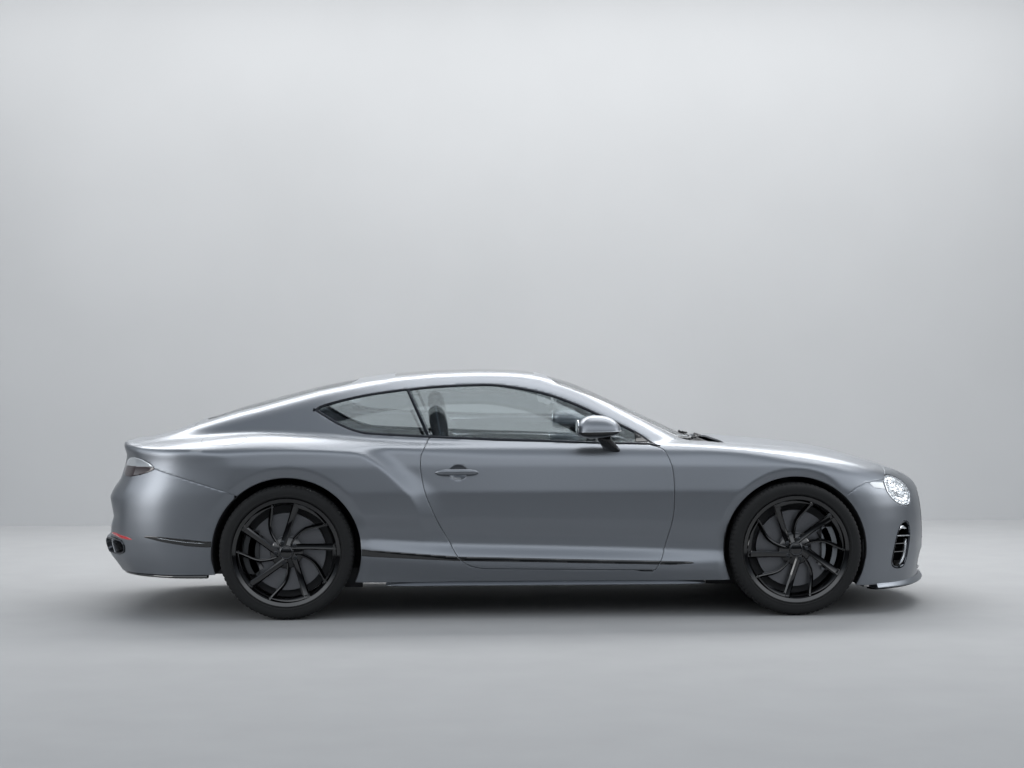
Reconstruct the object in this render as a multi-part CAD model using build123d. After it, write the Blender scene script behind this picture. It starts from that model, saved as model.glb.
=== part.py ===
"""A two-door grand touring coupe, built as separate panels, glass, cabin, suspension and wheels.

Millimetres. +X is forward, +Y is the car's left, +Z is up. The origin is on the ground under the
middle of the car's overall length.
"""
from build123d import *
import math
import os

# ---- overall sizes -------------------------------------------------------------------------
WHEELBASE = 2851.0
FRONT_OVERHANG = 948.5
REAR_OVERHANG = 1095.5
BODY_WIDTH = 1966.0
HEIGHT = 1397.0
LENGTH = FRONT_OVERHANG + WHEELBASE + REAR_OVERHANG
FRONT_AXLE_X = LENGTH / 2 - FRONT_OVERHANG
REAR_AXLE_X = FRONT_AXLE_X - WHEELBASE
HALF = BODY_WIDTH / 2

# ---- wheels and brakes ---------------------------------------------------------------------
TYRE_RADIUS = 374.0
RIM_RADIUS = 282.0
RIM_WALL = 9.0
FRONT_TYRE_WIDTH = 275.0
REAR_TYRE_WIDTH = 315.0
TYRE_SIDE_GAP = 10.0      # the tyre's outer face lies this far inside the body's widest line
FRONT_ARCH_GAP = 34.0     # between tyre and arch edge
REAR_ARCH_GAP = 42.0
DISC_RADIUS = 215.0
DISC_THICKNESS = 36.0
SPOKE_PAIRS = 5
SPINDLE_RADIUS = 32.0
SPINDLE_CLEARANCE = 0.05
KINGPIN_INSET = 16.0      # steering axis inboard of the wheel's middle plane

# ---- panels --------------------------------------------------------------------------------
DOOR_THICKNESS = 80.0
SKIN = 25.0               # fenders, bonnet, boot lid and bumpers
PILLAR = 36.0             # roof rails and pillars
GLASS = 6.0
GLASS_INSET = 4.0         # glass sits this far inside the body surface
SHUT_GAP = 8.0            # between a moving panel and its neighbours
SILL_BOTTOM = 185.0
JACK_PAD_BOTTOM = 168.0

# ---- moving parts --------------------------------------------------------------------------
DOOR_HINGE_X = 650.0      # reference station of the door's hinge line
DOOR_LEAF = 30.0          # thickness of the door ahead of its hinge line
DOOR_HINGE_INSET = 12.0   # hinge line inside the widest part of the body

# The shape tables below are drawn for the axles and sizes of this reference body, and are
# stretched to the sizes above by along(), wide() and high().
REF_FRONT_AXLE, REF_REAR_AXLE = 1499.0, -1352.0
REF_FRONT_OVERHANG, REF_REAR_OVERHANG = 948.5, 1095.5
REF_HALF, REF_HEIGHT = 983.0, 1397.0


def along(x):
    """Reference station to real X: stretched between the axles and in each overhang."""
    if x > REF_FRONT_AXLE:
        return FRONT_AXLE_X + (x - REF_FRONT_AXLE) * FRONT_OVERHANG / REF_FRONT_OVERHANG
    if x < REF_REAR_AXLE:
        return REAR_AXLE_X + (x - REF_REAR_AXLE) * REAR_OVERHANG / REF_REAR_OVERHANG
    share = (x - REF_REAR_AXLE) / (REF_FRONT_AXLE - REF_REAR_AXLE)
    return REAR_AXLE_X + share * WHEELBASE


def wide(y):
    """Reference half-width to real Y."""
    return y * HALF / REF_HALF


def high(z):
    """Reference height to real Z."""
    return z * HEIGHT / REF_HEIGHT


# Lower body sections.
# station, sill y, low y, wide y, wide z, crease y, crease z, shelf y, shelf z, middle z
LOWER = [
    (2520, 780, 850, 880, 540, 760, 690, 480, 730, 742),
    (2100, 860, 930, 950, 600, 830, 790, 600, 835, 846),
    (1499, 880, 958, 968, 680, 885, 890, 720, 940, 968),
    (950, 885, 945, 952, 640, 900, 938, 760, 972, 994),
    (0, 885, 942, 948, 600, 905, 950, 850, 985, 990),
    (-600, 885, 942, 950, 600, 900, 950, 850, 1003, 1003),
    (-1352, 885, 965, 983, 790, 930, 965, 780, 1025, 1030),
    (-1950, 870, 935, 945, 700, 885, 945, 730, 1000, 1040),
    (-2520, 800, 860, 880, 640, 800, 920, 600, 950, 960),
]

# Greenhouse sections.
# station, base y, base z, rail y, rail z, top z
UPPER = [
    (1140, 700, 900, 560, 940, 972),
    (760, 775, 900, 665, 1020, 1108),
    (291, 838, 900, 640, 1225, 1320),
    (-330, 862, 900, 610, 1322, 1397),
    (-900, 850, 900, 590, 1262, 1352),
    (-1500, 780, 900, 560, 1125, 1222),
    (-2180, 640, 860, 480, 925, 985),
]


def side_face(points):
    """A closed outline in side view, through (x, z) points."""
    return make_face(Polyline([(x, 0, z) for x, z in points], close=True))


def side_prism(points, y_low, y_high):
    """A side-view outline carried across from y_low to y_high."""
    return Pos(0, y_low, 0) * extrude(side_face(points), y_high - y_low, dir=(0, 1, 0))


def plan_prism(points, z_low, z_high):
    """A plan outline carried up from z_low to z_high."""
    face = make_face(Polyline([(x, y, z_low) for x, y in points], close=True))
    return extrude(face, z_high - z_low, dir=(0, 0, 1))


def block(x0, x1, y0, y1, z0, z1):
    """A box between two corners."""
    return Pos((x0 + x1) / 2, (y0 + y1) / 2, (z0 + z1) / 2) * Box(x1 - x0, y1 - y0, z1 - z0)


def across(radius, y0, y1, x, z):
    """A cylinder along Y from y0 to y1."""
    return Pos(x, (y0 + y1) / 2, z) * Rot(90, 0, 0) * Cylinder(radius, abs(y1 - y0))


def mirrored(shape):
    """The same piece on the other side of the car."""
    return mirror(shape, Plane.XZ)


def both(shape):
    """A left piece with its right-hand twin, as one set of solids."""
    return Compound([*shape.solids(), *mirrored(shape).solids()])


# ---- body envelope -------------------------------------------------------------------------
def lower_loft(side, top):
    """The body below the windows, through the LOWER sections, drawn in by side and top."""
    wires = []
    for x, sill_y, low_y, wide_y, wide_z, crease_y, crease_z, shelf_y, shelf_z, middle_z in LOWER:
        half = [
            (wide(sill_y) - side, SILL_BOTTOM - 60),
            (wide(low_y) - side, high(330)),
            (wide(wide_y) - side, high(wide_z)),
            (wide(crease_y) - side, high(crease_z) - top),
            (wide(shelf_y) - side, high(shelf_z) - top),
        ]
        ring = half + [(0, high(middle_z) - top)] + [(-y, z) for y, z in reversed(half)]
        wires.append(Wire(Polyline(*[(along(x), y, z) for y, z in ring], close=True).edges()))
    return Solid.make_loft(wires)


def upper_loft(side, top):
    """The greenhouse, through the UPPER sections: bowed sides and an arched roof."""
    wires = []
    for x, base_y, base_z, rail_y, rail_z, top_z in UPPER:
        foot = Vector(along(x), wide(base_y) - side, high(base_z))
        rail = Vector(along(x), wide(rail_y) - side, high(rail_z) - top)
        crown = Vector(along(x), 0, high(top_z) - top)
        bow = Vector(along(x), (foot.Y + rail.Y) / 2 + 14, (foot.Z + rail.Z) / 2)
        flip = [Vector(p.X, -p.Y, p.Z) for p in (foot, bow, rail)]
        wires.append(Wire([
            ThreePointArc(foot, bow, rail).edge(),
            ThreePointArc(rail, crown, flip[2]).edge(),
            ThreePointArc(flip[2], flip[1], flip[0]).edge(),
            Line(flip[0], foot).edge(),
        ]))
    return Solid.make_loft(wires)


def plan_outline(inset):
    """The plan outline: straight flanks and a nose and tail of three arcs each."""
    nose, tail = LENGTH / 2 - inset, -LENGTH / 2 + inset
    edge = HALF - inset
    nose_side = (along(2285) - inset, wide(650) - inset)
    nose_bend = (along(2165) - inset * 0.8, wide(795) - inset * 0.7)
    nose_back = (along(1950), wide(945) - inset)
    tail_side = (along(-2350) + inset, wide(610) - inset)
    tail_bend = (along(-2225) + inset * 0.8, wide(775) - inset * 0.7)
    tail_back = (along(-1950), wide(940) - inset)
    front, rear = (along(1600), edge), (along(-1600), edge)

    def low(p):
        return (p[0], -p[1])

    lines = [
        ThreePointArc(low(nose_side), (nose, 0), nose_side),
        ThreePointArc(nose_side, nose_bend, nose_back),
        Line(nose_back, front),
        Line(front, rear),
        Line(rear, tail_back),
        ThreePointArc(tail_back, tail_bend, tail_side),
        ThreePointArc(tail_side, (tail, 0), low(tail_side)),
        ThreePointArc(low(tail_side), low(tail_bend), low(tail_back)),
        Line(low(tail_back), low(rear)),
        Line(low(rear), low(front)),
        Line(low(front), low(nose_back)),
        ThreePointArc(low(nose_back), low(nose_bend), low(nose_side)),
    ]
    return extrude(make_face(Wire([line.edge() for line in lines])), HEIGHT + 400, dir=(0, 0, 1))


# The lower body's ends in side view, and its lower edge: station, height.
TAIL = [(-2150, 250), (-2355, 262), (-2424, 338), (-2448, 430), (-2410, 450), (-2402, 548),
        (-2418, 655), (-2352, 765), (-2330, 834), (-2334, 930), (-2346, 978)]
NOSE = [(2380, 1000), (2380, 756), (2418, 704), (2440, 600), (2448, 480), (2445, 300), (2421, 204),
        (2290, 150), (1930, 140)]


def profile(inset):
    """The side-view outline of the lower body, carried across the car. With an inset, open below."""
    points = [(along(x) + inset, high(z)) for x, z in TAIL]
    points += [(along(-1900), HEIGHT), (along(1900), HEIGHT)]
    points += [(along(x) - inset, high(z)) for x, z in NOSE]
    if inset:
        points += [(along(1930), 0), (along(-2150), 0)]
    else:
        points += [(along(1100), SILL_BOTTOM), (along(-900), SILL_BOTTOM), (along(-1770), high(234))]
    return side_prism(points, -HALF - 50, HALF + 50)


def keep(shape, *regions):
    """A shape kept inside every region."""
    for region in regions:
        shape = shape & region
    return shape


def inset(points, distance):
    """A closed outline drawn in by distance; a negative distance draws it out."""
    area = sum(a[0] * b[1] - b[0] * a[1] for a, b in zip(points, points[1:] + points[:1]))
    turn = distance if area > 0 else -distance
    lines = []
    for (ax, az), (bx, bz) in zip(points, points[1:] + points[:1]):
        run = math.hypot(bx - ax, bz - az)
        nx, nz = -(bz - az) / run * turn, (bx - ax) / run * turn
        lines.append(((ax + nx, az + nz), (bx - ax, bz - az)))
    moved = []
    for (p, u), (q, v) in zip(lines[-1:] + lines[:-1], lines):
        cross = u[0] * v[1] - u[1] * v[0]
        if abs(cross) < 1e-6:
            moved.append(q)
            continue
        step = ((q[0] - p[0]) * v[1] - (q[1] - p[1]) * v[0]) / cross
        moved.append((p[0] + u[0] * step, p[1] + u[1] * step))
    return moved


def side_outline(points):
    """Reference (station, height) points at their real place."""
    return [(along(x), high(z)) for x, z in points]


def plan_outline_of(points):
    """A plan outline from reference half points, closed across the middle line."""
    half = [(along(x), wide(y)) for x, y in points]
    return half + [(x, -y) for x, y in reversed(half) if y > 0]


LOWER_OUT = keep(lower_loft(0, 0), plan_outline(0), profile(0))
UPPER_OUT = upper_loft(0, 0)
OUTSIDE = LOWER_OUT + UPPER_OUT
THIN_LOWER = keep(lower_loft(SKIN, SKIN), plan_outline(SKIN), profile(SKIN))
ROOM = upper_loft(PILLAR, PILLAR)
THIN_INSIDE = THIN_LOWER + ROOM
# doors, sills and flanks are a whole wall thick, the ends only a skin
THICK_SPAN = block(along(-1600), along(1100), -HALF, HALF, 0, HEIGHT)
INSIDE = (THIN_LOWER - THICK_SPAN) + (lower_loft(DOOR_THICKNESS, 30) & THICK_SPAN) + ROOM
SHELL = OUTSIDE - INSIDE
THIN_SHELL = OUTSIDE - THIN_INSIDE
GLASS_SHEET = upper_loft(GLASS_INSET, GLASS_INSET) - upper_loft(GLASS_INSET + GLASS, GLASS_INSET + GLASS)

# ---- shut lines: station and height in side view, station and half width in plan -------------
DOOR_REAR = [(-560, 1004), (-588, 947), (-606, 897), (-605, 810), (-577, 682), (-513, 540), (-456, 440),
             (-398, 340), (-341, 297), (-273, 279), (-229, 276)]
DOOR_FRONT = [(702, 262), (737, 320), (764, 409), (791, 499), (809, 589), (813, 695), (808, 802),
              (790, 875), (763, 928), (736, 946)]
BELT = [(681, 961), (333, 970), (73, 980), (-159, 986)]
WINDOW_FRONT_TOP = [(-684, 1287), (-566, 1298), (-347, 1309), (-150, 1306), (87, 1262), (266, 1201),
                    (440, 1121), (620, 1033), (705, 972)]
QUARTER = [(-565, 1005), (-853, 1019), (-960, 1033), (-1067, 1073), (-1167, 1130), (-1203, 1162),
           (-1150, 1195), (-931, 1248), (-713, 1283), (-684, 1287)]
WINDSCREEN = [(985, 0), (970, 330), (925, 500), (850, 590), (560, 605), (291, 590), (145, 555), (135, 300),
              (130, 0)]
ROOF_GLASS = [(65, 0), (65, 430), (-755, 430), (-755, 0)]
REAR_WINDOW = [(-965, 0), (-985, 300), (-1020, 470), (-1500, 505), (-1800, 480), (-1845, 320), (-1865, 0)]
BONNET = [(2303, 0), (2295, 300), (2250, 500), (2100, 590), (1868, 655), (1500, 705), (1145, 715), (1145, 0)]
BOOT_LID = [(-1905, 0), (-1905, 540), (-2100, 535), (-2600, 520), (-2600, 0)]
ROOF_SEAM_Y = wide(540)
QUARTER_LINE = [(-2600, 835), (-2090, 835), (-1690, 715), (-1600, 680)]
BUMPER_TOP = 707
LID_BOTTOM = 660

door_outline = side_outline(DOOR_REAR + DOOR_FRONT + BELT)
door_shape = inset(door_outline, SHUT_GAP)
DOOR_HOLE = side_prism(door_outline, 0, HALF + 50)
window_outline = side_outline(BELT[:1] + BELT[1:] + DOOR_REAR[:1] + WINDOW_FRONT_TOP)
WINDOW_HOLE = side_prism(window_outline, 0, HALF + 50)
QUARTER_HOLE = side_prism(side_outline(QUARTER + [(-660, 1289), (-540, 1004)]), 0, HALF + 50)
WINDSCREEN_HOLE = plan_prism(plan_outline_of(WINDSCREEN), 0, HEIGHT + 50)
ROOF_GLASS_HOLE = plan_prism(plan_outline_of(ROOF_GLASS), high(1100), HEIGHT + 50)
REAR_WINDOW_HOLE = plan_prism(plan_outline_of(REAR_WINDOW), high(900), HEIGHT + 50)
BONNET_HOLE = plan_prism(plan_outline_of(BONNET), high(650), HEIGHT)
LID_HOLE = plan_prism(plan_outline_of(BOOT_LID), high(LID_BOTTOM), HEIGHT)
LEFT = block(-LENGTH, LENGTH, 0, HALF + 100, 0, HEIGHT + 100)
FRONT_ARCH = across(TYRE_RADIUS + FRONT_ARCH_GAP, wide(600), HALF + 60, FRONT_AXLE_X, TYRE_RADIUS)
REAR_ARCH = across(TYRE_RADIUS + REAR_ARCH_GAP, wide(640), HALF + 60, REAR_AXLE_X, TYRE_RADIUS)

# lamps: centre height and centre half width, then a radius, or half axes for the oval tail lamp
HEADLAMP = (694, 772, 86)
TAIL_LAMP = (838, 735, 150, 58)


def headlamp_tube():
    """The round lamp of one side, as a cylinder along X."""
    z, y, radius = HEADLAMP
    return Pos((along(2000) + LENGTH / 2) / 2, wide(y), high(z)) * Rot(0, 90, 0) * Cylinder(
        radius, LENGTH / 2 - along(2000) + 20)


def tail_lamp_tube():
    """The oval lamp of one side, as a prism along X."""
    z, y, half_width, half_height = TAIL_LAMP
    oval = Plane(origin=(-LENGTH / 2 - 10, wide(y), high(z)), x_dir=(0, 1, 0), z_dir=(1, 0, 0)) * Ellipse(
        half_width, half_height)
    return extrude(oval, LENGTH / 2 + 10 + along(-2130), dir=(1, 0, 0))


# ---- front fenders, bonnet, bumpers ----------------------------------------------------------
fender_outline = side_outline([(640, 300), (640, 1150), (2300, 1150), (2300, BUMPER_TOP), (1860, BUMPER_TOP),
                               (1860, 300)])
fender_left = keep(LOWER_OUT - THIN_LOWER, side_prism(fender_outline, wide(500), HALF + 50))
fender_left = fender_left - BONNET_HOLE - DOOR_HOLE - FRONT_ARCH - UPPER_OUT - headlamp_tube()
fender_left = fender_left - block(along(500), along(1145), 0, wide(715), 0, HEIGHT)

bumper_region = (block(along(1860), LENGTH, -HALF, HALF, 0, high(BUMPER_TOP))
                 + block(along(2300), LENGTH, -HALF, HALF, 0, HEIGHT))
nose_shell = LOWER_OUT - THIN_LOWER
front_bumper = nose_shell & bumper_region
GRILLE_OPENING = block(along(2300), LENGTH, -wide(430), wide(430), high(385), high(680))
INTAKE_OPENING = block(along(2200), LENGTH, -wide(560), wide(560), high(205), high(330))
SIDE_INTAKE = block(along(2040), LENGTH, wide(640), wide(860), high(262), high(500))
front_bumper = (front_bumper - BONNET_HOLE - FRONT_ARCH - mirrored(FRONT_ARCH) - GRILLE_OPENING
                - INTAKE_OPENING - SIDE_INTAKE - mirrored(SIDE_INTAKE) - headlamp_tube()
                - mirrored(headlamp_tube()))

# the bonnet's front edge leans forward so that it clears the bumper as it lifts
LEAN = math.tan(math.radians(12))
bonnet_plan = inset(plan_outline_of(BONNET), SHUT_GAP)
bonnet_side = side_prism([(along(1145), high(600)), (along(2303) - SHUT_GAP - 60, high(600)),
                          (along(2303) - SHUT_GAP - 60 + LEAN * 60, high(660)),
                          (along(2303) - SHUT_GAP + 20, high(1000)), (along(1145), high(1000))],
                         -HALF, HALF)
bonnet = keep(nose_shell, plan_prism(bonnet_plan, high(600), HEIGHT), bonnet_side)

rear_region = side_prism(side_outline([(-1600, 0)] + QUARTER_LINE[::-1] + [(-2600, 0)]), -HALF, HALF)
rear_bumper = THIN_SHELL & rear_region
EXHAUST_HOLE = block(-LENGTH / 2 - 10, along(-2200), wide(520), wide(760), high(345), high(440))
rear_bumper = (rear_bumper - LID_HOLE - REAR_ARCH - mirrored(REAR_ARCH) - EXHAUST_HOLE
               - mirrored(EXHAUST_HOLE) - tail_lamp_tube() - mirrored(tail_lamp_tube()))
STOP_FIT = 0.3
for y in (-wide(400), wide(400)):
    rear_bumper = rear_bumper + block(along(-2411), along(-2399), y - 15, y + 15, high(LID_BOTTOM) - 4,
                                      high(LID_BOTTOM) + SHUT_GAP - STOP_FIT)
lid_plan = inset(plan_outline_of(BOOT_LID), SHUT_GAP)
boot_lid = keep(THIN_SHELL, plan_prism(lid_plan, high(LID_BOTTOM) + SHUT_GAP, HEIGHT))

# ---- body sides, roof, cowl ------------------------------------------------------------------
side_region = side_prism(side_outline(QUARTER_LINE + [(-1600, 0), (1085, 0), (1085, 300), (930, 300),
                                                      (930, 880), (1110, 880), (1110, 1500), (-2600, 1500)]),
                         0, HALF + 50)
COWL_RECESS = block(along(1016), along(1145), -wide(715), wide(715), high(925), HEIGHT)
roof_region = block(along(-1905), along(140), -ROOF_SEAM_Y, ROOF_SEAM_Y, high(900), HEIGHT + 50)
cowl_region = block(along(900), along(1016), -ROOF_SEAM_Y, ROOF_SEAM_Y, high(900), HEIGHT)
body_side_left = SHELL & side_region
body_side_left = (body_side_left - DOOR_HOLE - WINDOW_HOLE - QUARTER_HOLE - REAR_ARCH - WINDSCREEN_HOLE
                  - LID_HOLE - COWL_RECESS - roof_region - cowl_region - REAR_WINDOW_HOLE
                  - fender_left - tail_lamp_tube())
body_side_left = body_side_left - block(along(-1905), along(1016), -10, ROOF_SEAM_Y, 0, HEIGHT + 50)
roof_panel = (SHELL & roof_region) - WINDSCREEN_HOLE - ROOF_GLASS_HOLE - REAR_WINDOW_HOLE - LID_HOLE
cowl_panel = (SHELL & cowl_region) - WINDSCREEN_HOLE
cowl_panel = cowl_panel + (block(along(996), along(1016), -ROOF_SEAM_Y, ROOF_SEAM_Y, high(905), high(970)) & OUTSIDE)
cowl_panel = cowl_panel + (block(along(935), along(1145), -HALF, HALF, high(905), high(925)) & THIN_LOWER)

cowl_panel = cowl_panel - body_side_left - mirrored(body_side_left)

windscreen = GLASS_SHEET & WINDSCREEN_HOLE & block(along(130), LENGTH, -HALF, HALF, high(940), HEIGHT)
roof_glass = GLASS_SHEET & ROOF_GLASS_HOLE
rear_window = max((GLASS_SHEET & REAR_WINDOW_HOLE).solids(), key=lambda piece: piece.volume)
quarter_left = GLASS_SHEET & side_prism(side_outline(QUARTER), 0, HALF + 50)

# ---- doors, their glass, hinges and mirrors --------------------------------------------------
PIN_RADIUS = 6.0
PIN_FIT = 0.05
HINGE_HEIGHTS = (high(430), high(600))
HINGE_HALF = 22.0
hinge_x = along(DOOR_HINGE_X)
hinge_y = wide(948) - DOOR_HINGE_INSET - 6
STRUT_HALF = 7.0
STRUT_IN = (wide(772), wide(772) + 12)
PILLAR_X = (along(820), along(842))

door_left = (SHELL & side_prism(door_shape, wide(500), HALF + 50))
# ahead of the hinge line the door is only a leaf, which swings in behind the fender
door_left = door_left - (lower_loft(DOOR_LEAF, DOOR_LEAF) & block(
    hinge_x - 14, along(900), 0, HALF, SILL_BOTTOM, high(975)))
for level in HINGE_HEIGHTS:
    door_left = door_left - block(hinge_x - 14, along(900), STRUT_IN[0] - 20, hinge_y + 11,
                                  level - HINGE_HALF - 5, level + HINGE_HALF + 5)
    door_left = door_left + Pos(hinge_x, hinge_y, level) * Cylinder(PIN_RADIUS, 2 * HINGE_HALF + 14)
# a strut from the hinge pillar back past the door's front edge and out to each pin
for level in HINGE_HEIGHTS:
    z0, z1 = level - HINGE_HALF, level + HINGE_HALF
    arm = block(hinge_x - STRUT_HALF, hinge_x + STRUT_HALF, STRUT_IN[0], hinge_y, z0, z1)
    arm = arm + Pos(hinge_x, hinge_y, level) * Cylinder(10, 2 * HINGE_HALF)
    arm = arm + block(hinge_x - STRUT_HALF, PILLAR_X[1], *STRUT_IN, z0, z1)
    arm = arm + block(*PILLAR_X, STRUT_IN[0], wide(880), z0, z1)
    arm = arm - Pos(hinge_x, hinge_y, level) * Cylinder(PIN_RADIUS + PIN_FIT, 3 * HINGE_HALF)
    body_side_left = body_side_left + arm
for x in (along(700), along(-600)):
    body_side_left = body_side_left + block(x - 45, x + 45, wide(830), wide(880) - 0.3, JACK_PAD_BOTTOM, 200)

belt_in = door_shape[len(DOOR_REAR) + len(DOOR_FRONT):]
glass_top = inset(window_outline, SHUT_GAP)[len(BELT) + 1:]
glass_outline = belt_in + [door_shape[0]] + glass_top[:-1]
door_glass_left = GLASS_SHEET & side_prism(glass_outline, wide(400), HALF)
door_glass_left = max((door_glass_left - door_left).solids(), key=lambda piece: piece.volume)

# mirror: a housing on a foot that stands on the door's shoulder
mirror_head = Pos(along(385), wide(1010), high(1062)) * Box(215, 155, 118)
mirror_head = fillet(mirror_head.edges(), 38)
mirror_foot = plan_prism([(along(400), wide(860)), (along(490), wide(860)), (along(450), wide(965)),
                          (along(370), wide(965))], high(900), high(1010))
mirror_left = ((mirror_head + mirror_foot) - door_left) - OUTSIDE
mirror_left = max(mirror_left.solids(), key=lambda piece: piece.volume)
quarter_left = max(quarter_left.solids(), key=lambda piece: piece.volume)

# ---- wheels ----------------------------------------------------------------------------------
FRONT_WHEEL_Y = HALF - TYRE_SIDE_GAP - FRONT_TYRE_WIDTH / 2
REAR_WHEEL_Y = HALF - TYRE_SIDE_GAP - REAR_TYRE_WIDTH / 2
DISC_FACE_Y = HALF - 136.0        # inner face of the brake disc
HUB_FACE_Y = DISC_FACE_Y + DISC_THICKNESS + 7
HUB_END_Y = HALF - 28.0
SPOKE_BACK_Y = HALF - 55.0
SPOKE_FRONT_Y = HALF - 20.0
SPINDLE_END_Y = HUB_END_Y - 30
HUB_RADIUS = 82.0
WIDE_SPOKE, THIN_SPOKE = 46.0, 20.0
SPOKE_TURN = math.radians(24)


def ring(outer, inner, y0, y1, x):
    return across(outer, y0, y1, x, TYRE_RADIUS) - across(inner, y0 - 5, y1 + 5, x, TYRE_RADIUS)


def spoke(x, width, start, end, inner, outer):
    """A straight spoke between two angles, from the hub to the rim."""
    a = (inner * math.cos(start), inner * math.sin(start))
    b = (outer * math.cos(end), outer * math.sin(end))
    run = math.hypot(b[0] - a[0], b[1] - a[1])
    ux, uz = (b[0] - a[0]) / run, (b[1] - a[1]) / run
    corners = [(a[0] - uz * width / 2, a[1] + ux * width / 2), (b[0] - uz * width / 2, b[1] + ux * width / 2),
               (b[0] + uz * width / 2, b[1] - ux * width / 2), (a[0] + uz * width / 2, a[1] - ux * width / 2)]
    return side_prism([(x + px, TYRE_RADIUS + pz) for px, pz in corners], SPOKE_BACK_Y, SPOKE_FRONT_Y)


def wheel(x, middle_y, width):
    """Tyre, rim and disc of a left wheel."""
    y0, y1 = middle_y - width / 2, middle_y + width / 2
    tyre = ring(TYRE_RADIUS, RIM_RADIUS, y0, y1, x)
    tyre = fillet(tyre.edges().filter_by(GeomType.CIRCLE).sort_by(lambda e: e.radius)[-2:], 30)
    rim = ring(RIM_RADIUS, RIM_RADIUS - RIM_WALL, y0 + 6, y1 - 6, x)
    rim = rim + across(HUB_RADIUS, HUB_FACE_Y, HUB_END_Y, x, TYRE_RADIUS)
    reach = RIM_RADIUS - RIM_WALL / 2
    for pair in range(SPOKE_PAIRS):
        turn = math.radians(30 + pair * 360 / SPOKE_PAIRS)
        rim = rim + spoke(x, WIDE_SPOKE, turn, turn - SPOKE_TURN, HUB_RADIUS - 15, reach)
        rim = rim + spoke(x, THIN_SPOKE, turn + SPOKE_TURN, turn + SPOKE_TURN / 8, HUB_RADIUS - 10, reach)
    rim = rim - across(SPINDLE_RADIUS + SPINDLE_CLEARANCE, HUB_FACE_Y - 5, SPINDLE_END_Y + 1, x, TYRE_RADIUS)
    disc = ring(DISC_RADIUS, SPINDLE_RADIUS + SPINDLE_CLEARANCE, DISC_FACE_Y, DISC_FACE_Y + DISC_THICKNESS, x)
    disc = disc + ring(HUB_RADIUS + 8, SPINDLE_RADIUS + SPINDLE_CLEARANCE, DISC_FACE_Y + DISC_THICKNESS - 1,
                       HUB_FACE_Y, x)
    return tyre, rim, disc


front_tyre, front_rim, front_disc = wheel(FRONT_AXLE_X, FRONT_WHEEL_Y, FRONT_TYRE_WIDTH)
rear_tyre, rear_rim, rear_disc = wheel(REAR_AXLE_X, REAR_WHEEL_Y, REAR_TYRE_WIDTH)

# ---- knuckles, calipers, arms ----------------------------------------------------------------
KINGPIN_Y = FRONT_WHEEL_Y - KINGPIN_INSET
KINGPIN_RADIUS = 12.0
KINGPIN_FIT = 0.05
ARM_THICKNESS = 30.0
LOWER_PIN_Z = TYRE_RADIUS - 172.0      # top face of the lower arm
UPPER_PIN_Z = TYRE_RADIUS + 216.0      # underside of the upper arm
PIN_DEPTH = 38.0
SEAT_GAP = 0.3


def caliper(x, to_front):
    """A block that straddles the disc, ahead of the hub or behind it."""
    sign = 1 if to_front else -1
    pad0, pad1 = DISC_RADIUS - 62, DISC_RADIUS + 26
    body = block(min(x + sign * pad0, x + sign * pad1), max(x + sign * pad0, x + sign * pad1),
                 DISC_FACE_Y - 34, DISC_FACE_Y + DISC_THICKNESS + 32, TYRE_RADIUS - 120, TYRE_RADIUS + 120)
    body = body & across(DISC_RADIUS + 26, DISC_FACE_Y - 60, DISC_FACE_Y + 120, x, TYRE_RADIUS)
    return body - across(DISC_RADIUS + 4, DISC_FACE_Y - 4, DISC_FACE_Y + DISC_THICKNESS + 4, x, TYRE_RADIUS)


def upright(x, z0, z1, to_front):
    """The upright, its spindle and the arm that holds the caliper."""
    sign = 1 if to_front else -1
    post = block(x - 32, x + 32, KINGPIN_Y - 20, DISC_FACE_Y - 8, z0, z1)
    post = post + across(SPINDLE_RADIUS, DISC_FACE_Y - 20, SPINDLE_END_Y, x, TYRE_RADIUS)
    post = post + across(78, KINGPIN_Y - 20, DISC_FACE_Y - 8, x, TYRE_RADIUS)
    ends = sorted((x, x + sign * (DISC_RADIUS - 30)))
    post = post + block(ends[0], ends[1], KINGPIN_Y - 20, DISC_FACE_Y - 8, TYRE_RADIUS - 45, TYRE_RADIUS + 45)
    return post + caliper(x, to_front)


knuckle_left = upright(FRONT_AXLE_X, LOWER_PIN_Z + SEAT_GAP, UPPER_PIN_Z - SEAT_GAP, True)
for z0, z1 in ((LOWER_PIN_Z - 5, LOWER_PIN_Z + PIN_DEPTH + SEAT_GAP), (UPPER_PIN_Z - PIN_DEPTH - SEAT_GAP, UPPER_PIN_Z + 5)):
    knuckle_left = knuckle_left - Pos(FRONT_AXLE_X, KINGPIN_Y, (z0 + z1) / 2) * Cylinder(
        KINGPIN_RADIUS + KINGPIN_FIT, z1 - z0)

RAIL_Y0, RAIL_Y1 = wide(420), wide(480)
CROSS_TOP = high(260)
arms_left = block(FRONT_AXLE_X - 20, FRONT_AXLE_X + 20, RAIL_Y0, KINGPIN_Y + 18, LOWER_PIN_Z - ARM_THICKNESS, LOWER_PIN_Z)
arms_left = arms_left + Pos(FRONT_AXLE_X, KINGPIN_Y, LOWER_PIN_Z + PIN_DEPTH / 2 - 5) * Cylinder(KINGPIN_RADIUS, PIN_DEPTH + 10)
arms_left = arms_left + block(FRONT_AXLE_X - 15, FRONT_AXLE_X + 15, RAIL_Y0, KINGPIN_Y + 15, UPPER_PIN_Z, UPPER_PIN_Z + ARM_THICKNESS)
arms_left = arms_left + Pos(FRONT_AXLE_X, KINGPIN_Y, UPPER_PIN_Z - PIN_DEPTH / 2 + 5) * Cylinder(KINGPIN_RADIUS, PIN_DEPTH + 10)
arms_left = arms_left + block(FRONT_AXLE_X - 40, FRONT_AXLE_X + 40, RAIL_Y0, RAIL_Y1, CROSS_TOP - 90, UPPER_PIN_Z + ARM_THICKNESS)
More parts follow.
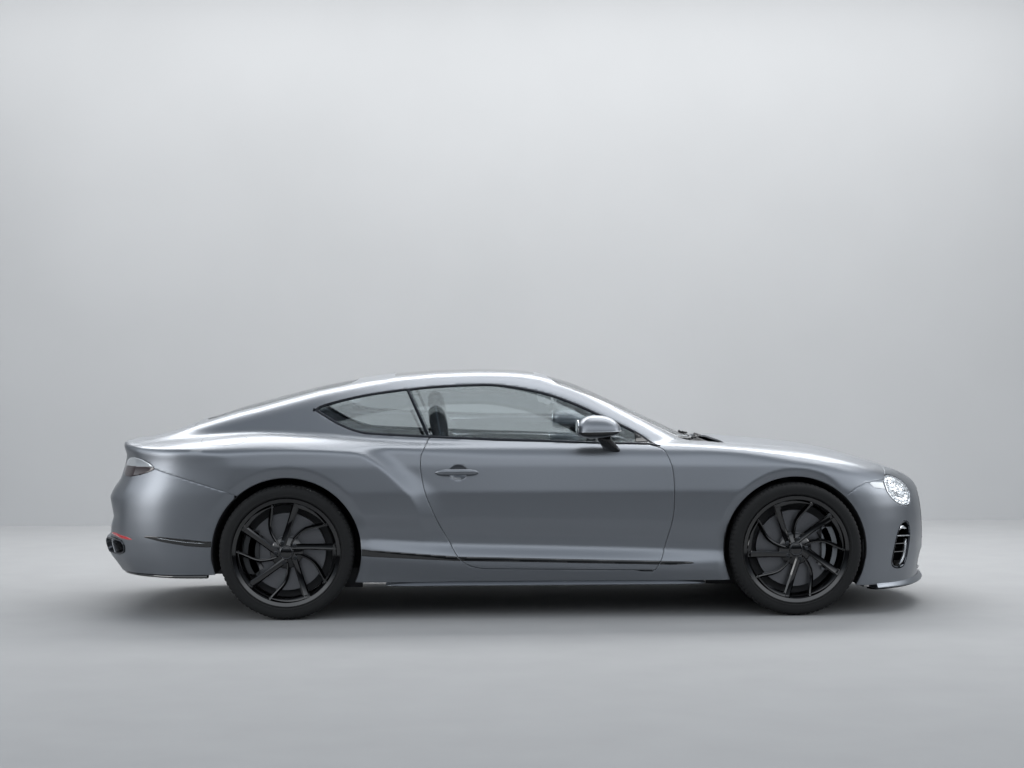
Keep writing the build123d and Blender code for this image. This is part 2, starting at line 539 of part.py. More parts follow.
arms_left = arms_left + block(along(1050), along(2230), RAIL_Y0, RAIL_Y1, CROSS_TOP, CROSS_TOP + 80)
front_subframe = arms_left + mirrored(arms_left) + block(FRONT_AXLE_X - 60, FRONT_AXLE_X + 60, -RAIL_Y1, RAIL_Y1, CROSS_TOP - 80, CROSS_TOP)
front_subframe = front_subframe + block(along(2230), along(2260), -wide(560), wide(560), high(200), high(600))

rear_side = upright(REAR_AXLE_X, TYRE_RADIUS - 170, TYRE_RADIUS + 150, False)
rear_side = rear_side + across(42, 0, KINGPIN_Y, REAR_AXLE_X, TYRE_RADIUS)
rear_axle = rear_side + mirrored(rear_side)
BOOT_FLOOR = high(520)
rear_axle = rear_axle + block(REAR_AXLE_X - 90, REAR_AXLE_X + 90, -wide(450), wide(450), TYRE_RADIUS - 60, BOOT_FLOOR)

# ---- floor, liners, engine -------------------------------------------------------------------
FLOOR_LOW, FLOOR_TOP = high(200), high(240)
cabin_floor = block(along(-950), along(1050), -HALF, HALF, FLOOR_LOW, FLOOR_TOP) & INSIDE
bulkhead = block(along(1030), along(1050), -HALF, HALF, FLOOR_TOP, high(905)) & INSIDE
seat_wall = block(along(-950), along(-930), -wide(620), wide(620), FLOOR_TOP, BOOT_FLOOR + 20)
boot_floor = block(along(-1790), along(-950), -wide(620), wide(620), BOOT_FLOOR, BOOT_FLOOR + 20)
boot_floor = boot_floor + (block(along(-2380), along(-1790), -HALF, HALF, BOOT_FLOOR, BOOT_FLOOR + 20) & THIN_INSIDE)
floor_pan = cabin_floor + bulkhead + seat_wall + boot_floor
engine = block(along(1200), along(1900), -wide(300), wide(300), CROSS_TOP, high(820))


def liner(x, arch, inner_y, hole, solid):
    """The inner arch: a thin tube over the wheel with an inner wall, kept inside the skin."""
    outer = arch - 0.3
    region = block(x - arch - 20, x + arch + 20, inner_y, HALF, high(255), HEIGHT)
    tube = across(outer, inner_y, HALF, x, TYRE_RADIUS) - across(outer - 5, inner_y + 5, HALF + 10, x, TYRE_RADIUS)
    tube = tube - across(hole, inner_y - 10, inner_y + 10, x, TYRE_RADIUS)
    return max(keep(tube, region, solid).solids(), key=lambda piece: piece.volume)


front_liner = liner(FRONT_AXLE_X, TYRE_RADIUS + FRONT_ARCH_GAP, wide(495), 290, THIN_LOWER)
rear_liner = liner(REAR_AXLE_X, TYRE_RADIUS + REAR_ARCH_GAP, wide(630), 290, INSIDE)

# ---- cabin -----------------------------------------------------------------------------------
dash_outline = side_outline([(450, 800), (560, 900), (960, 905), (960, 640), (520, 620)])
dashboard = side_prism(dash_outline, -wide(770), wide(770)) & INSIDE
console = block(along(-450), along(620), -wide(110), wide(110), FLOOR_TOP, high(560))
dashboard = dashboard + console + block(along(560), along(960), -wide(110), wide(110), high(500), high(700))
dashboard = dashboard + block(along(930), along(1030), -wide(600), wide(600), high(640), high(880))
WHEEL_TILT = 24
steering_wheel = Torus(178, 15)
steering_wheel = steering_wheel + Box(2 * 178, 30, 14) + Pos(-89, 0, 0) * Box(178, 30, 14) + Cylinder(62, 30)
steering_wheel = steering_wheel + Pos(0, 0, -110) * Cylinder(28, 220)
steering_wheel = Pos(along(380), wide(370), high(820)) * Rot(0, -90 + WHEEL_TILT, 0) * steering_wheel
dashboard = dashboard - steering_wheel


def seat(x, y, base, width):
    """Cushion, back and headrest of one seat as one closed soft shape; x is the cushion's middle."""
    def slab(points, half):
        return side_prism(side_outline(points), wide(y) - half, wide(y) + half)
    cushion = slab([(x + 250, base), (x + 260, base + 130), (x - 240, base + 90), (x - 250, base)], width / 2)
    back = slab([(x - 150, base + 60), (x - 290, base + 640), (x - 400, base + 630), (x - 290, base + 20)],
                width / 2 - 15)
    head = slab([(x - 285, base + 600), (x - 320, base + 790), (x - 410, base + 780), (x - 390, base + 600)], 130)
    return cushion + back + head


SEAT_BASE = 330
front_seat = seat(-90, 370, SEAT_BASE, 500)
front_seat = front_seat + block(along(-300), along(120), wide(370) - 190, wide(370) + 190, FLOOR_TOP, high(SEAT_BASE) + 5)
rear_side_view = [(-440, 405), (-430, 500), (-820, 470), (-985, 930), (-1085, 920), (-925, 545), (-905, 405)]
rear_seat = side_prism(side_outline(rear_side_view), wide(330) - 215, wide(330) + 215)
rear_seat = rear_seat + block(along(-900), along(-520), wide(330) - 200, wide(330) + 200, FLOOR_TOP, high(410))

# ---- lamps, grilles, blades, exhausts --------------------------------------------------------
headlamp_left = (headlamp_tube() & (LOWER_OUT - block(-LENGTH, along(2040), -HALF, HALF, 0, HEIGHT)))
headlamp_left = headlamp_left - BONNET_HOLE
tail_lamp_left = tail_lamp_tube() & THIN_SHELL
tail_lamp_left = max(tail_lamp_left.solids(), key=lambda piece: piece.volume)
GRILLE_DEPTH = 14.0


def lattice(opening, x_back, bars):
    """A frame and upright bars that fill an opening of the bumper."""
    box = opening.bounding_box()
    y0, y1, z0, z1 = box.min.Y, box.max.Y, box.min.Z, box.max.Z
    panel = block(x_back, x_back + GRILLE_DEPTH, y0, y1, z0, z1)
    pitch = (y1 - y0 - 16) / bars
    for number in range(bars):
        left = y0 + 8 + pitch * number
        panel = panel - block(x_back - 1, x_back + GRILLE_DEPTH + 1, left + pitch * 0.2, left + pitch, z0 + 8, z1 - 8)
    return panel


main_grille = lattice(GRILLE_OPENING, along(2395), 16)
lower_grille = lattice(INTAKE_OPENING, along(2385), 12)
grilles = Compound([*main_grille.solids(), *lower_grille.solids()])
skirt_left = block(along(-790), along(970), wide(880), wide(957), high(172), SILL_BOTTOM)
splitter = keep(lower_loft(-6, 0), plan_outline(4), block(along(1945), LENGTH, -HALF, HALF, high(128), high(152)))
splitter = splitter - FRONT_ARCH - mirrored(FRONT_ARCH) - front_bumper
diffuser = keep(THIN_LOWER, block(-LENGTH, along(-1790), -wide(840), wide(840), high(262), high(290)))
diffuser = diffuser - REAR_ARCH - mirrored(REAR_ARCH)
exhaust = block(-LENGTH / 2 + 18, along(-2170), wide(520), wide(760), high(345), high(440))
exhaust = fillet(exhaust.edges().filter_by(Axis.X), 30)
exhaust = exhaust - block(-LENGTH / 2 + 10, along(-2250), wide(520) + 8, wide(760) - 8, high(345) + 8,
                          high(440) - 8)

# ---- bonnet and boot lid hinges --------------------------------------------------------------
BONNET_PIN = 7.0
LUG = 24.0
bonnet_hinge_x, bonnet_hinge_z = along(1132), high(945)
for side in (1, -1):
    y = side * wide(600)
    lug = block(bonnet_hinge_x - 12, along(1190), y - LUG / 2, y + LUG / 2, bonnet_hinge_z - 14, bonnet_hinge_z + 14)
    lug = lug + block(along(1160), along(1190), y - LUG / 2, y + LUG / 2, bonnet_hinge_z - 14, high(1000))
    bonnet = bonnet + (lug & LOWER_OUT)
    bonnet = bonnet - across(BONNET_PIN + PIN_FIT, y - 40, y + 40, bonnet_hinge_x, bonnet_hinge_z)
    fork = across(BONNET_PIN, y - 26, y + 26, bonnet_hinge_x, bonnet_hinge_z)
    for edge in (-26, 14):
        fork = fork + block(bonnet_hinge_x - 12, bonnet_hinge_x + 12, y + edge, y + edge + 12, high(920), bonnet_hinge_z + 12)
    cowl_panel = cowl_panel + fork

os.makedirs("parts", exist_ok=True)
nodes = {
    "floor_pan": floor_pan, "cowl_panel": cowl_panel, "body_side_left": body_side_left,
    "body_side_right": mirrored(body_side_left), "roof_panel": roof_panel, "roof_glass": roof_glass,
    "windscreen": windscreen, "rear_window": rear_window, "quarter_windows": both(quarter_left),
    "front_fender_left": fender_left, "front_fender_right": mirrored(fender_left),
    "front_bumper": front_bumper, "rear_bumper": rear_bumper, "headlamps": both(headlamp_left),
    "tail_lamps": both(tail_lamp_left), "grilles": grilles, "front_splitter": splitter,
    "rear_diffuser": diffuser, "exhaust_tips": both(exhaust), "side_skirts": both(skirt_left),
    "engine": engine, "dashboard": dashboard, "steering_wheel": steering_wheel,
    "front_seats": both(front_seat), "rear_seats": both(rear_seat),
    "front_wheel_liners": both(front_liner), "rear_wheel_liners": both(rear_liner),
    "front_subframe": front_subframe, "rear_axle": rear_axle,
    "door_left": door_left, "door_right": mirrored(door_left),
    "door_glass_left": door_glass_left, "door_glass_right": mirrored(door_glass_left),
    "mirror_left": mirror_left, "mirror_right": mirrored(mirror_left),
    "bonnet": bonnet, "boot_lid": boot_lid,
    "knuckle_left": knuckle_left, "knuckle_right": mirrored(knuckle_left),
}
for place, pieces in (("front", (front_tyre, front_rim, front_disc)), ("rear", (rear_tyre, rear_rim, rear_disc))):
    for name, piece in zip(("tyre", "rim", "disc"), pieces):
        nodes[f"{name}_{place}_left"] = piece
        nodes[f"{name}_{place}_right"] = mirrored(piece)
for name, shape in nodes.items():
    export_step(shape, f"parts/{name}.step")
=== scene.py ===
"""A two-door grand touring coupe in satin grey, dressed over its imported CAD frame.

Shapes are worked out in millimetres with +X forward, +Y to the car's left and +Z up, and go
into each mesh in metres. A surface is a function of two parameters on a grid, trimmed along
the shut lines.
"""
import math

import bpy
import numpy as np
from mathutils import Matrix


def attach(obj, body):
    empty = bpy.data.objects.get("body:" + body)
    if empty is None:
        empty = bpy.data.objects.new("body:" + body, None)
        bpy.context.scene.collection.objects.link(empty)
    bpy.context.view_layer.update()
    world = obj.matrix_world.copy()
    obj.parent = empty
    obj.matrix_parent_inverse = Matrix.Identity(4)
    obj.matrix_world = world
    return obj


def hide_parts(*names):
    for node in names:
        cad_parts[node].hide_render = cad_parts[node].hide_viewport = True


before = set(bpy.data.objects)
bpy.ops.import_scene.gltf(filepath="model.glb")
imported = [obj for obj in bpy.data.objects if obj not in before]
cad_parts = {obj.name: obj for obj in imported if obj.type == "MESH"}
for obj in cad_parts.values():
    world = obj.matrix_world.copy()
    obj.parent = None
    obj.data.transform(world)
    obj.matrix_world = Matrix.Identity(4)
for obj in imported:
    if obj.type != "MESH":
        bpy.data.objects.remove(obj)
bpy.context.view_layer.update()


# ---- camera ---------------------------------------------------------------------------------
def make_camera():
    """The camera at the right-hand side, a little above the bonnet, turned slightly forward."""
    data = bpy.data.cameras.new("camera")
    data.lens, data.sensor_width = 63.6, 36.0
    camera = bpy.data.objects.new("camera", data)
    bpy.context.scene.collection.objects.link(camera)
    camera.location = (-0.6077, -11.0209, 1.3304)
    camera.rotation_euler = (math.pi / 2 - 0.0025, 0.0024, -0.0506)
    bpy.context.scene.camera = camera


make_camera()
bpy.context.scene.view_settings.view_transform = "Standard"


# ---- numbers to curves and tables -----------------------------------------------------------
def blur(count, width):
    """A smoothing matrix: each sample becomes a bell-weighted mean of its neighbours."""
    steps = np.arange(count)
    weights = np.exp(-0.5 * ((steps[:, None] - steps[None, :]) / max(width, 1e-3)) ** 2)
    return weights / weights.sum(1, keepdims=True)


def hats(samples, knots):
    """Straight-line interpolation from the knots to the samples, as a matrix."""
    return np.stack([np.interp(samples, knots, row) for row in np.eye(len(knots))], 1)


def line(points, soften=0.0, step=4.0):
    """A function of one number through (place, value) points, its corners softened."""
    places, values = np.array(points, float).T
    order = np.argsort(places)
    places, values = places[order], values[order]
    dense = np.arange(places[0], places[-1] + step, step)
    out = np.interp(dense, places, values)
    if soften:
        pad = int(3 * soften / step) + 1
        ends = np.r_[out[0] - (out[1] - out[0]) * np.arange(pad, 0, -1), out,
                     out[-1] + (out[-1] - out[-2]) * np.arange(1, pad + 1)]
        out = (blur(len(ends), soften / step) @ ends)[pad:-pad]
    return lambda place: np.interp(place, dense, out)


def table(xs, ys, rows, soften_x, soften_y, step_x=15.0, step_y=5.0):
    """A function of two numbers through a table of values, its corners softened both ways."""
    fine_x = np.arange(xs[0], xs[-1] + step_x, step_x)
    fine_y = np.arange(ys[0], ys[-1] + step_y, step_y)
    values = np.array(rows, float)
    dense = hats(fine_x, xs) @ values @ hats(fine_y, ys).T
    dense = blur(len(fine_x), soften_x / step_x) @ dense @ blur(len(fine_y), soften_y / step_y).T

    def read(x, y):
        i = np.clip((x - fine_x[0]) / step_x, 0, len(fine_x) - 1.001)
        j = np.clip((y - fine_y[0]) / step_y, 0, len(fine_y) - 1.001)
        i0, j0 = i.astype(int), j.astype(int)
        i, j = i - i0, j - j0
        return ((dense[i0, j0] * (1 - j) + dense[i0, j0 + 1] * j) * (1 - i)
                + (dense[i0 + 1, j0] * (1 - j) + dense[i0 + 1, j0 + 1] * j) * i)
    return read


def ease(t):
    """Goes smoothly from 0 to 1."""
    t = np.clip(t, 0, 1)
    return t * t * (3 - 2 * t)


def circle(count):
    """Angles evenly round a circle."""
    return np.linspace(0, 2 * math.pi, count, endpoint=False)


def oval(u, v, wide, high, count):
    """An outline round (u, v) with half its width and half its height."""
    return [(u + wide * math.cos(a), v + high * math.sin(a)) for a in circle(count)]


def squared(c, power=0.8):
    """A cosine or sine bulged out, so that a circle turns into a rounded square."""
    return np.sign(c) * np.abs(c) ** power


def lesser(a, b, radius):
    """The smaller of two fields, the corner between them rounded."""
    h = np.clip(0.5 + 0.5 * (b - a) / radius, 0, 1)
    return b + (a - b) * h - radius * h * (1 - h)


def greater(a, b, radius):
    """The larger of two fields, the corner between them filled."""
    return -lesser(-a, -b, radius)


def spline(points, count=0, closed=False, per=8):
    """A smooth run (Catmull-Rom) through points, count samples along it."""
    points = np.array(points, float)
    if closed:
        ring = np.vstack([points[-1:], points, points[:2]])
    else:
        ring = np.vstack([2 * points[0] - points[1], points, 2 * points[-1] - points[-2]])
    spans = len(ring) - 3
    count = count or spans * per + (0 if closed else 1)
    t = np.linspace(0, spans, count, endpoint=not closed)
    k = np.minimum(t.astype(int), spans - 1)
    t = (t - k)[:, None]
    a, b, c, d = (ring[k + i] for i in range(4))
    return 0.5 * (2 * b + (c - a) * t + (2 * a - 5 * b + 4 * c - d) * t ** 2
                  + (3 * b - 3 * c + d - a) * t ** 3)


def signed(outline, u, v):
    """How far each (u, v) lies inside a closed outline; negative outside."""
    a = np.array(outline, float)
    b = np.roll(a, -1, 0)
    best = np.full(u.shape, 1e12)
    inside = np.zeros(u.shape, bool)
    for (ax, ay), (bx, by) in zip(a, b):
        dx, dy = bx - ax, by - ay
        t = np.clip(((u - ax) * dx + (v - ay) * dy) / (dx * dx + dy * dy + 1e-12), 0, 1)
        best = np.minimum(best, (u - ax - t * dx) ** 2 + (v - ay - t * dy) ** 2)
        if ay != by:
            inside ^= ((ay > v) != (by > v)) & (u < (bx - ax) * (v - ay) / (by - ay) + ax)
    return np.where(inside, 1, -1) * np.sqrt(best)


# ---- the body surface -----------------------------------------------------------------------
FLANK_X = [-2500, -1950, -1352, -950, -600, 0, 600, 1000, 1499, 1900, 2500]
FLANK_Z = [100, 200, 285, 305, 345, 408, 470, 560, 700, 850, 950, 1050, 1200]
FLANK = table(FLANK_X, FLANK_Z, [
    [880, 900, 915, 918, 922, 928, 932, 935, 935, 930, 915, 890, 850],
    [895, 915, 930, 933, 938, 943, 947, 950, 951, 944, 930, 905, 860],
    [910, 925, 940, 942, 943, 944, 946, 948, 948, 943, 930, 900, 850],
    [905, 925, 948, 952, 952, 932, 932, 943, 945, 934, 918, 890, 840],
    [905, 925, 952, 957, 957, 928, 927, 941, 945, 930, 912, 880, 830],
    [905, 925, 955, 960, 959, 926, 925, 941, 945, 926, 905, 870, 820],
    [905, 925, 955, 960, 958, 927, 926, 942, 948, 930, 905, 872, 825],
    [905, 925, 950, 955, 953, 934, 934, 948, 953, 936, 907, 872, 825],
    [910, 930, 948, 950, 950, 953, 957, 963, 966, 945, 902, 850, 790],
    [900, 920, 935, 937, 940, 946, 950, 955, 955, 920, 868, 815, 740],
    [880, 900, 915, 918, 922, 928, 932, 935, 930, 895, 850, 800, 700],
], 130, 8)

DECK_X = [-2500, -2350, -2200, -1950, -1563, -1352, -1115, -900, -600, 0, 600, 1000, 1135, 1300,
          1499, 1664, 1866, 2064, 2263, 2363, 2500]
DECK_W = [0, 500, 600, 720, 840, 920, 980, 1060]
DECK = table(DECK_X, DECK_W, [
    [980, 978, 965, 925, 870, 810, 750, 680],
    [979, 976, 965, 935, 885, 840, 790, 720],
    [982, 980, 975, 960, 920, 880, 830, 760],
    [1015, 1012, 1005, 997, 975, 940, 900, 830],
    [1040, 1040, 1040, 1036, 1012, 972, 935, 880],
    [1040, 1040, 1040, 1036, 1014, 976, 938, 880],
    [1030, 1030, 1030, 1026, 1006, 966, 925, 870],
    [1010, 1010, 1010, 1008, 994, 952, 910, 850],
    [1000, 1000, 1000, 998, 988, 942, 900, 840],
    [992, 992, 992, 990, 984, 936, 890, 830],
    [985, 985, 985, 984, 978, 934, 890, 830],
    [992, 985, 982, 976, 962, 936, 890, 830],
    [988, 980, 976, 968, 954, 930, 885, 820],
    [981, 972, 967, 956, 940, 914, 865, 790],
    [964, 954, 948, 936, 918, 885, 830, 750],
    [947, 936, 930, 916, 896, 858, 800, 710],
    [911, 898, 890, 872, 846, 795, 730, 630],
    [852, 838, 828, 805, 765, 700, 630, 530],
    [781, 766, 752, 715, 660, 590, 520, 420],
    [745, 730, 712, 668, 600, 530, 460, 360],
    [690, 675, 655, 600, 530, 460, 400, 300],
], 70, 28, 15, 10)

NOSE = line([(60, 2370), (150, 2395), (204, 2408), (300, 2426), (420, 2430), (520, 2428),
             (608, 2417), (680, 2396), (720, 2374), (760, 2334), (800, 2295), (850, 2200),
             (950, 2000), (1400, 1300)], 14)
NOSE_PLAN = line([(-40, 2), (0, 0), (150, 7), (300, 30), (450, 78), (560, 120), (650, 162),
                  (760, 240), (850, 348), (920, 480), (955, 620), (1000, 860), (1200, 2000)], 30)
TAIL = line([(60, -2250), (200, -2325), (255, -2362), (338, -2424), (400, -2444), (430, -2446),
             (443, -2421), (495, -2419), (548, -2404), (623, -2419), (660, -2424), (705, -2404),
             (765, -2362), (834, -2339), (900, -2327), (930, -2338), (955, -2344), (975, -2339),
             (992, -2322), (1010, -2295), (1400, -2295)], 5)
TAIL_CORNER = line([(60, -2250), (200, -2325), (338, -2404), (430, -2428), (540, -2424),
                    (640, -2412), (705, -2396), (765, -2368), (834, -2341), (900, -2329),
                    (955, -2344), (975, -2339), (1010, -2295), (1400, -2295)], 24)
TAIL_PLAN = line([(-40, 0), (0, 0), (200, 3), (400, 14), (600, 50), (750, 132), (850, 252),
                  (920, 372), (955, 520), (1000, 800), (1200, 2000)], 30)
ROOF = line([(-2600, 860), (-2344, 925), (-2260, 955), (-2200, 982), (-2100, 1018), (-1924, 1089),
             (-1678, 1172), (-1433, 1239), (-1186, 1301), (-939, 1346), (-738, 1374), (-507, 1391),
             (-245, 1397), (-60, 1393), (76, 1378), (291, 1321), (447, 1254), (604, 1181),
             (760, 1108), (877, 1052), (1016, 984), (1135, 924), (1300, 840), (2000, 480)], 45)
CROWN = line([(-2600, 8), (-2200, 14), (-1500, 30), (-900, 27), (-300, 22), (60, 23), (300, 27),
              (600, 33), (1200, 38), (2000, 38)], 80)
GLASS_FOOT = line([(-2600, 470), (-2340, 540), (-2000, 650), (-1600, 748), (-1150, 812),
                   (-713, 838), (-347, 843), (87, 840), (440, 828), (745, 803), (900, 765),
                   (1135, 660), (1500, 400)], 70)
GLASS_LEAN = line([(-2600, 1.2), (-2340, 1.0), (-2000, 0.8), (-1600, 0.74), (-1150, 0.73),
                   (-713, 0.7), (-347, 0.69), (87, 0.73), (440, 0.84), (745, 1.0), (900, 1.15),
                   (1135, 1.6), (1500, 2)], 80)
UNION = line([(-2600, 70), (-2200, 60), (-1850, 34), (-1500, 24), (-1250, 20), (-950, 14),
              (600, 12), (900, 24), (1200, 30)], 60)
EDGE = line([(-2600, 26), (-1900, 24), (-1200, 14), (-700, 20), (-200, 46), (700, 46), (1200, 26),
             (2500, 30)], 90)
FRONT_AXLE, REAR_AXLE, AXLE_Z = 1499.0, -1352.0, 374.0
FRONT_ARCH, REAR_ARCH = 408.0, 416.0

# The rear haunch's crease, as angle round the rear wheel's centre and distance from it.
CREASE = line([(-40, 775), (0, 768), (22.4, 756), (27.2, 744), (36.2, 716), (48, 693), (57.8, 664),
               (67.4, 636), (78, 612), (90, 600), (108, 640), (128, 745), (140, 870), (180, 1300)],
              3, 0.5)
HAUNCH = line([(-90, 0), (-30, 6), (0, 20), (20, 33), (40, 38), (110, 38), (140, 26), (165, 12),
               (180, 8), (270, 0)], 8, 0.5)


def polar(x, z, axle):
    """Angle in degrees from straight ahead, and distance, round a wheel's centre."""
    return np.degrees(np.arctan2(z - AXLE_Z, x - axle)), np.hypot(x - axle, z - AXLE_Z)


def haunch(x, z):
    """Extra half width of the rear fender: full inside the crease, easing away outside it."""
    angle, away = polar(x, z, REAR_AXLE)
    angle = np.where(angle < -90, angle + 360, angle)
    beyond = away - CREASE(angle)
    reach = 95 + 170 * ease((40 - angle) / 45)
    fall = np.clip(1 - np.maximum(beyond, 0) / reach, 0, 1) ** 2
    behind = 1 - 0.75 * ease((-1500 - x) / 700)
    return HAUNCH(angle) * fall * behind


def arch_lip(x, z):
    """The band round each arch: the flank turns in towards the opening from its crease."""
    front = np.clip((449 - polar(x, z, FRONT_AXLE)[1]) / 41, 0, 1.3)
    rear = np.clip((466 - polar(x, z, REAR_AXLE)[1]) / 50, 0, 1.3)
    return 15 * np.maximum(front, rear) * ease((700 - z + 400) / 100)


def half_side(x, z):
    """Half width of the flanks; the flared band low on them falls towards the front."""
    fall = 0.029 * np.clip(x + 400, 0, 1300) - 0.084 * np.clip(-400 - x, 0, 540)
    return FLANK(x, z + fall * ease((640 - z) / 160)) + haunch(x, z) - arch_lip(x, z)


def body(p):
    """Roughly how far each point lies inside the car's outer surface; negative outside."""
    x, w, z = p[:, 0], np.abs(p[:, 1]), p[:, 2]
    flank = half_side(x, z) - w
    deck = (DECK(x, w) - z) * 0.9
    lower = lesser(flank, deck, EDGE(x))
    lean = GLASS_LEAN(x)
    up = z - 990
    bow = 12 * np.clip(1 - ((up - 150) / 170) ** 2, 0, 1)
    side = (GLASS_FOOT(x) - lean * up + bow - w) / np.sqrt(1 + lean ** 2)
    top = (ROOF(x) - CROWN(x) * (w / 500) ** 2 - z) * 0.95
    upper = lesser(lesser(side, top, 62), z - 905, 10)
    whole = greater(lower, upper, UNION(x))
    nose = (NOSE(z) - NOSE_PLAN(w) - x) / (1 + 0.5 * (w / 900) ** 4)
    corner = ease((w - 520) / 260)
    tail = x - TAIL(z) * (1 - corner) - TAIL_CORNER(z) * corner - TAIL_PLAN(w)
    tail = tail / (1 + 0.5 * (w / 900) ** 4)
    whole = lesser(whole, nose, 34)
    return lesser(whole, tail, 34 - 17 * ease((z - 860) / 60) * ease((700 - w) / 120))


def normals(p):
    """Outward unit normals of the body surface at points near it."""
    grad = np.empty_like(p)
    for axis in range(3):
        step = np.zeros(3)
        step[axis] = 1.5
        grad[:, axis] = body(p - step) - body(p + step)
    return grad / np.linalg.norm(grad, axis=1, keepdims=True)


# ---- rays that cover the body: each family turns (u, v) into a start and a direction --------
FRONT_FAN, REAR_FAN, FAN_RADIUS, RISE, WAIST = 1750.0, -1650.0, 800.0, 950.0, 600.0
# u of the car's middle line at both ends, in hull's family
NOSE_MIDDLE, TAIL_MIDDLE = FRONT_FAN + math.pi / 2 * FAN_RADIUS, REAR_FAN - math.pi / 2 * FAN_RADIUS


def hull(u, v):
    """Rays out from the middle line at waist height: u runs along the car and fans round both
    ends on to the other side, v is the lift."""
    past_end = np.where(u > FRONT_FAN, u - FRONT_FAN, np.where(u < REAR_FAN, u - REAR_FAN, 0))
    turn = past_end / FAN_RADIUS
    lift = v / RISE
    start = np.stack([np.clip(u, REAR_FAN, FRONT_FAN), 0 * u, 0 * u + WAIST], 1)
    way = np.stack([np.sin(turn) * np.cos(lift), np.cos(turn) * np.cos(lift), np.sin(lift)], 1)
    return start, way, 30.0, 1500.0


def above(u, v):
    """Rays straight up at (x, y)."""
    start = np.stack([u, v, 0 * u + 560], 1)
    return start, np.tile([0.0, 0.0, 1.0], (len(u), 1)), 0.0, 1000.0


def over_tail(u, v):
    """Rays at half width u in a fan over the boot and its back face."""
    turn = v / 330.0
    start = np.stack([0 * u - 2050, u, 0 * u + 820], 1)
    return start, np.stack([-np.sin(turn), 0 * u, np.cos(turn)], 1), 5.0, 900.0


def ahead(u, v):
    """Rays straight forward at (y, z)."""
    start = np.stack([0 * u + 1200, u, v], 1)
    return start, np.tile([1.0, 0.0, 0.0], (len(u), 1)), 0.0, 1600.0


def behind(u, v):
    """Rays straight back at (y, z)."""
    start = np.stack([0 * u - 1300, u, v], 1)
    return start, np.tile([-1.0, 0.0, 0.0], (len(u), 1)), 0.0, 1600.0


def aside(u, v):
    """Rays straight out to the left at (x, z)."""
    start = np.stack([u, 0 * u + 60, v], 1)
    return start, np.tile([0.0, 1.0, 0.0], (len(u), 1)), 0.0, 1300.0


def cast(family, u, v, proud=0.0):
    """Where each ray leaves the body, moved out by proud, with the surface normal and the ray."""
    start, way, near, far = family(u, v)
    near, far = np.full(len(u), near), np.full(len(u), far)
    for _ in range(22):
        middle = (near + far) / 2
        inside = body(start + way * middle[:, None]) > 0
        near, far = np.where(inside, middle, near), np.where(inside, far, middle)
    p = start + way * near[:, None]
    n = normals(p)
    facing = np.maximum((n * way).sum(1), 0.4)
    return p + way * (proud / facing)[:, None], n, way


def trim(uv, tris, value):
    """Keeps the part of a mesh where value is above 0, dividing each edge where it crosses 0."""
    good = value > 0
    count = good[tris].sum(1)
    cut = []
    for number in (1, 2):
        part = tris[count == number]
        k = (good[part] == (number == 1)).argmax(1)
        a, b, c = (part[np.arange(len(part)), (k + i) % 3] for i in range(3))
        cut.append([a, b, c]
                   + [np.minimum(a, end) * len(uv) + np.maximum(a, end) for end in (b, c)])
    unique = np.unique(np.concatenate([key for row in cut for key in row[3:]]))
    low, high = unique // len(uv), unique % len(uv)
    share = (value[low] / (value[low] - value[high]))[:, None]
    uv_all = np.vstack([uv, uv[low] + (uv[high] - uv[low]) * share])
    for row in cut:
        row[3:] = [len(uv) + np.searchsorted(unique, key) for key in row[3:]]
    (a, _, _, ab, ac), (_, b, c, to_b, to_c) = cut
    tris = np.vstack([tris[count == 3], np.stack([a, ab, ac], 1), np.stack([to_b, b, c], 1),
                      np.stack([to_b, c, to_c], 1)])
    return uv_all[np.unique(tris)], renumber(tris)


def renumber(tris):
    """Face corners counted again over the points that are in use."""
    return np.unique(tris, return_inverse=True)[1].reshape(tris.shape)


def rim_of(tris):
    """The open edges of a mesh, each in its face's own direction."""
    edges = np.vstack([tris[:, [0, 1]], tris[:, [1, 2]], tris[:, [2, 0]]])
    big = tris.max() + 1
    key = np.minimum(edges[:, 0], edges[:, 1]) * big + np.maximum(edges[:, 0], edges[:, 1])
    _, first, number = np.unique(key, return_index=True, return_counts=True)
    return edges[first[number == 1]]


# ---- objects --------------------------------------------------------------------------------
def add_mesh(name, points, faces, material, body_name="body", slot=None, replaces=(), sharp=32):
    """A piece from points in millimetres, riding on a body; its slot is looked up but not set on
    it. Edges bent by more than sharp degrees stay sharp."""
    mesh = bpy.data.meshes.new(name)
    points = np.asarray(points, float) / 1000
    if isinstance(faces, np.ndarray):
        faces = [faces]
    sides = np.concatenate([np.full(len(f), f.shape[1]) for f in faces])
    corners = np.concatenate([f.ravel() for f in faces]).astype(np.int32)
    mesh.vertices.add(len(points))
    mesh.vertices.foreach_set("co", points.astype(np.float32).ravel())
    mesh.loops.add(len(corners))
    mesh.loops.foreach_set("vertex_index", corners)
    mesh.polygons.add(len(sides))
    mesh.polygons.foreach_set("loop_start", np.r_[0, np.cumsum(sides)[:-1]].astype(np.int32))
    mesh.polygons.foreach_set("use_smooth", np.full(len(sides), True))
    mesh.update(calc_edges=True)
    mesh.validate()
    if sharp:
        mesh.set_sharp_from_angle(angle=math.radians(sharp))
    piece = bpy.data.objects.new(name, mesh)
    bpy.context.scene.collection.objects.link(piece)
    piece.data.materials.append(material)
    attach(piece, body_name)
    slot or USUAL_SLOT[material.name]
    if replaces:
        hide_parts(*replaces)
    return piece


